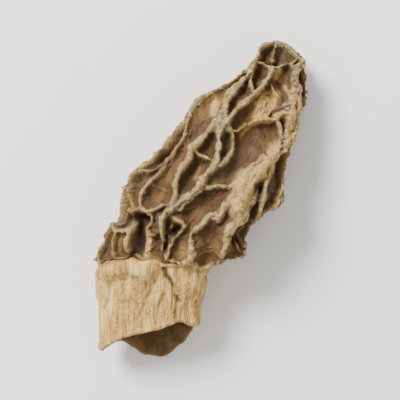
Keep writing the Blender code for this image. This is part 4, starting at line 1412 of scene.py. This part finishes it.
    def build(self) -> bpy.types.Object:
        """Draws the mushroom, and merges the triangles that its flatter places don't need.

        Returns:
            The finished object, over the CAD solid's place.
        """
        ring_count, segments, most = self.detail.value
        rough = put("morel_rough", self.drawn_out())
        thin = rough.modifiers.new("fewer_triangles", "DECIMATE")
        thin.ratio = min(1.0, most / (2 * segments * (ring_count - 1)))
        bpy.context.view_layer.update()
        graph = bpy.context.evaluated_depsgraph_get()
        fine = bpy.data.meshes.new_from_object(rough.evaluated_get(graph))
        fine.name = "dried_morel"
        bpy.data.objects.remove(rough)
        self.set_down(fine)
        fine.shade_smooth()
        return put("dried_morel", fine)

    def dress(self, piece: bpy.types.Object) -> None:
        """Gives the piece its finish, hides the CAD node that it stands for and hangs the piece under the
        root body.

        Args:
            piece: the finished object.
        """
        piece.data.materials.clear()
        piece.data.materials.append(self.finish.build())
        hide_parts(NODE)
        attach(piece, "root")

    def set_down(self, mesh: bpy.types.Mesh) -> None:
        """Centres the mesh over the CAD solid's middle and sets it on the floor.

        Args:
            mesh: the mesh, which is moved.
        """
        low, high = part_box(NODE)
        at = np.empty(len(mesh.vertices) * 3, np.float32)
        mesh.vertices.foreach_get("co", at)
        at = at.reshape(-1, 3)
        least, most = at.min(axis=0), at.max(axis=0)
        at[:, :2] += (np.array(low[:2]) + np.array(high[:2]) - least[:2] - most[:2]) / 2
        at[:, 2] += low[2] - least[2]
        mesh.vertices.foreach_set("co", at.ravel())
        mesh.update()


@dataclass(frozen=True)
class WhiteCard:
    """Matt white card for the floor: it takes a soft shadow and shows no reflection."""

    colour: str = "F1EFEB"
    roughness: float = 0.9

    def build(self) -> bpy.types.Material:
        """Makes the material.

        Returns:
            The material.
        """
        card = bpy.data.materials.new("matt white card")
        card.use_nodes = True
        shader = card.node_tree.nodes["Principled BSDF"]
        shader.inputs["Base Color"].default_value = linear(self.colour)
        shader.inputs["Roughness"].default_value = self.roughness
        return card


@dataclass
class Studio:
    """A plain pale floor under a large soft light from the upper left of the picture."""

    card: WhiteCard = field(default_factory=WhiteCard)
    floor_size: float = 1.6
    key_from: Triple = (0.29, 0.96, 1.15)
    key_distance: float = 0.9
    key_size: float = 0.38
    key_power: float = 18.8
    sky_colour: str = "F7F6F4"
    sky_strength: float = 1.05

    def build(self) -> None:
        """Makes the floor, the key light and the sky."""
        self.lay_floor()
        light = bpy.data.lights.new("key_light", "AREA")
        light.shape = "DISK"
        light.size = self.key_size
        light.energy = self.key_power
        lamp = put("key_light", light)
        towards = Vector(self.key_from).normalized()
        lamp.location = towards * self.key_distance
        lamp.rotation_euler = towards.to_track_quat("Z", "Y").to_euler()

        world = bpy.data.worlds.new("soft_white")
        world.use_nodes = True
        sky = world.node_tree.nodes["Background"]
        sky.inputs["Color"].default_value = linear(self.sky_colour)
        sky.inputs["Strength"].default_value = self.sky_strength
        bpy.context.scene.world = world

    def lay_floor(self) -> None:
        """Makes the floor."""
        bm = bmesh.new()
        bmesh.ops.create_grid(bm, x_segments=1, y_segments=1, size=self.floor_size / 2)
        mesh = bpy.data.meshes.new("floor")
        bm.to_mesh(mesh)
        bm.free()
        floor = put("floor", mesh)
        mesh.materials.append(self.card.build())


@dataclass
class PhotoCamera:
    """A camera that looks straight down, turned so that the cap's tip points to the upper right."""

    turn: float = -62.0
    lens: float = 150.0
    field: float = 0.086
    aim: Triple = (0.0, 0.0, 0.012)

    def build(self) -> None:
        """Makes the camera and sets it as the scene's."""
        data = bpy.data.cameras.new("photo_camera")
        data.lens = self.lens
        camera = put("photo_camera", data)
        away = self.field * self.lens / data.sensor_width
        camera.location = Vector(self.aim) + Vector((0, 0, away))
        camera.rotation_euler = (0, 0, math.radians(self.turn))
        bpy.context.scene.camera = camera


def main() -> None:
    """Builds the mushroom, the studio and the camera."""
    logging.basicConfig(level=logging.INFO, format="%(name)s: %(message)s")
    mushroom = Mushroom(Detail.FINE)
    piece = mushroom.build()
    mushroom.dress(piece)
    log.info("%s: %d vertices", piece.name, len(piece.data.vertices))
    Studio().build()
    log.info("studio: floor, key light and sky")
    PhotoCamera().build()
    log.info("camera: looks straight down")


if __name__ == "__main__":
    main()
